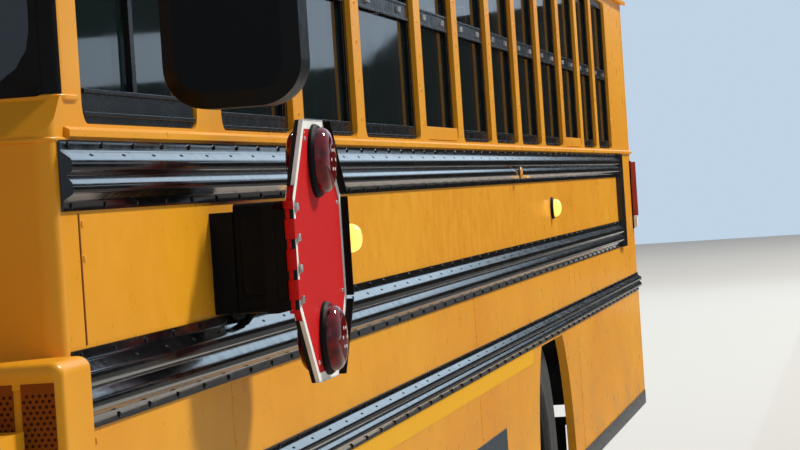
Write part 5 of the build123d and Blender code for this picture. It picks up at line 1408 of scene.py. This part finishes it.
def rear_fittings():
    """Blank number plate with its lamp, and the handle of the rear door."""
    holder, plate, bolts, handle = builds(4)
    holder.box((BACK_X - 0.012, -0.162, 0.786), (BACK_X - 0.001, 0.162, 0.956))
    holder.box((BACK_X - 0.030, -0.05, 0.956), (BACK_X - 0.001, 0.05, 0.976))
    holder.object("plate_holder", "seal", "housing_plastic", bevel=0.003)
    plate.box((BACK_X - 0.0136, -0.152, 0.794), (BACK_X - 0.0115, 0.152, 0.948))
    plate.object("blank_number_plate", "plate", "lamp_clear", bevel=0.0008)
    for y in (-0.09, 0.09):
        hex_bolt(bolts, (BACK_X - 0.0134, y, 0.935), (-1, 0, 0), 0.006, 0.005)
    bolts.object("plate_bolts", "bolt", "steel")
    handle.box((BACK_X - 0.012, 0.385, 1.590), (BACK_X - 0.0005, 0.452, 1.660))
    boss = [(0, 0), (0.014, 0), (0.012, 0.034), (0, 0.034)]
    handle.lathe((BACK_X - 0.010, 0.425, 1.625), (-1, 0, 0), boss, 18)
    handle.sweep([(BACK_X - back, y, z) for back, y, z in
                  ((0.040, 0.425, 1.625), (0.044, 0.38, 1.622), (0.044, 0.26, 1.622))], 0.009)
    handle.object("rear_door_handle", "alloy", "steel", "rear_emergency_door", smooth=45)


def under_fittings():
    """Mud flaps behind the rear wheels, and the flush filler door in the right skirt."""
    flaps, strips, gap, door, latch = builds(5)
    behind = ARCH - 0.715
    for side in (1, -1):
        span_box(flaps, behind - 0.008, behind, side, 0.66, 1.17, 0.17, 0.66)
        span_box(strips, behind - 0.012, behind + 0.004, side, 0.65, 1.18, 0.645, 0.675)
        for y in spaced(0.70, 1.13, 0.14):
            hex_bolt(strips, (behind + 0.003, side * y, 0.660), (1, 0, 0), 0.007, 0.006)
    flaps.object("mud_flaps", "seal", "tyre_rubber", bevel=0.002)
    strips.object("mud_flap_strips", "chassis_black", "steel")
    span_box(gap, -0.604, -0.276, -1, SIDE_Y, SIDE_Y + 0.0010, 0.596, 0.884)
    gap.object("filler_door_gap", "joint", "yellow_paint")
    span_box(door, -0.600, -0.280, -1, SIDE_Y + 0.0005, SIDE_Y + 0.0030, 0.600, 0.880)
    for z in (0.66, 0.82):
        door.disc((-0.284, -SIDE_Y - 0.004, z), (0, 0, 1), 0.005, -0.03, 0.03, 12)
    door.object("filler_door", "yellow_paint", bevel=0.001)
    button = [(0, 0), (0.016, 0), (0.014, 0.004), (0, 0.004)]
    latch.lathe((-0.565, -SIDE_Y - 0.003, 0.74), (0, -1, 0), button, 20)
    latch.object("filler_door_latch", "bolt", "steel", smooth=40)


def gauges():
    """Round dials in front of the driver; their faces carry plain ticks."""
    tree = skin_tree("dashboard")
    rims, faces, ticks = builds(3)
    for y, radius in ((0.37, 0.045), (0.48, 0.032), (0.56, 0.032), (0.67, 0.045)):
        spot = hit(tree, (3.2, y, 1.61), (1, 0, 0))
        ring = [(radius, -0.002), (radius + 0.006, -0.002), (radius + 0.006, 0.008), (radius, 0.006)]
        rims.lathe(spot, (-1, 0, 0), ring, 28)
        faces.disc(spot, (-1, 0, 0), radius, 0.001, 0.003, 28)
        for angle in range(-120, 121, 30):
            toward = Vector((0, *reversed(polar(radius, angle))))
            centre = spot - Vector((0.0032, 0, 0))
            ticks.bar(centre + toward * 0.74, centre + toward * 0.9, 0.0009, 6)
    rims.object("gauge_rims", "bolt", "steel", smooth=45)
    faces.object("gauge_faces", "housing_plastic")
    ticks.object("gauge_ticks", "plate", "lamp_clear")


def headlamps():
    """Black bezel, two reflector bowls behind a clear lens, and an amber turn lamp at the outer end."""
    bezel, bowls, lens_build, amber = builds(4)
    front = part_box("headlamps")[1].x
    bowl = [(0.0, 0.0), (0.016, 0.001), (0.034, 0.010), (0.046, 0.024), (0.0505, 0.036), (0.0535, 0.036),
            (0.0535, -0.002), (0.0, -0.002)]
    bulb = [(0, 0.0), (0.011, 0.0), (0.011, 0.018), (0.006, 0.024), (0, 0.025)]
    for side in (1, -1):
        y, z = side * 0.985, 1.045
        rounded_frame(bezel, "x", front - 0.045, 0.047, (y, z), (0.149, 0.084), (0.132, 0.068), 0.038)
        for build, shift, outline, back, face in (
                (bezel, 0, rounded_points(0.148, 0.083, 0.038), 0.066, 0.043),
                (amber, 0.102, rounded_points(0.022, 0.058, 0.014), 0.040, 0.012),
                (lens_build, 0, rounded_points(0.1335, 0.0695, 0.024), 0.004, 0.001)):
            build.prism([(y + side * shift + a, z + b) for a, b in outline], "x", front - back, front - face)
        for offset in (-0.086, 0.018):
            centre = (front - 0.040, y + side * offset, z)
            bowls.lathe(centre, (1, 0, 0), bowl, 32)
            bowls.lathe(centre, (1, 0, 0), bulb, 14)
    holder = bezel.object("headlamp_bezels", "housing_plastic", None, "hood", smooth=40)
    bowls.object("headlamp_bowls", "mirror", "lamp_clear", "hood", smooth=50)
    amber.object("turn_lamps", "amber", "lamp_red", "hood", bevel=0.004)
    lens_build.object("headlamp_lenses", "clear_glass", "lamp_clear", "hood", bevel=0.001)
    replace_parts(holder, "headlamps")


for make in (dress_cad, camera, stage, rail_fasteners, side_trim, hood_details, wipers, rear_fittings,
             under_fittings, gauges, pressed_rails, front_corner, window_details, stop_sign_details,
             stop_housing_details, marker_lamps, roof_ribs, vent_mesh, tyres, hubs, seats, end_seals,
             mirror_glass, warning_lamps, tail_lamps, headlamps):
    make()
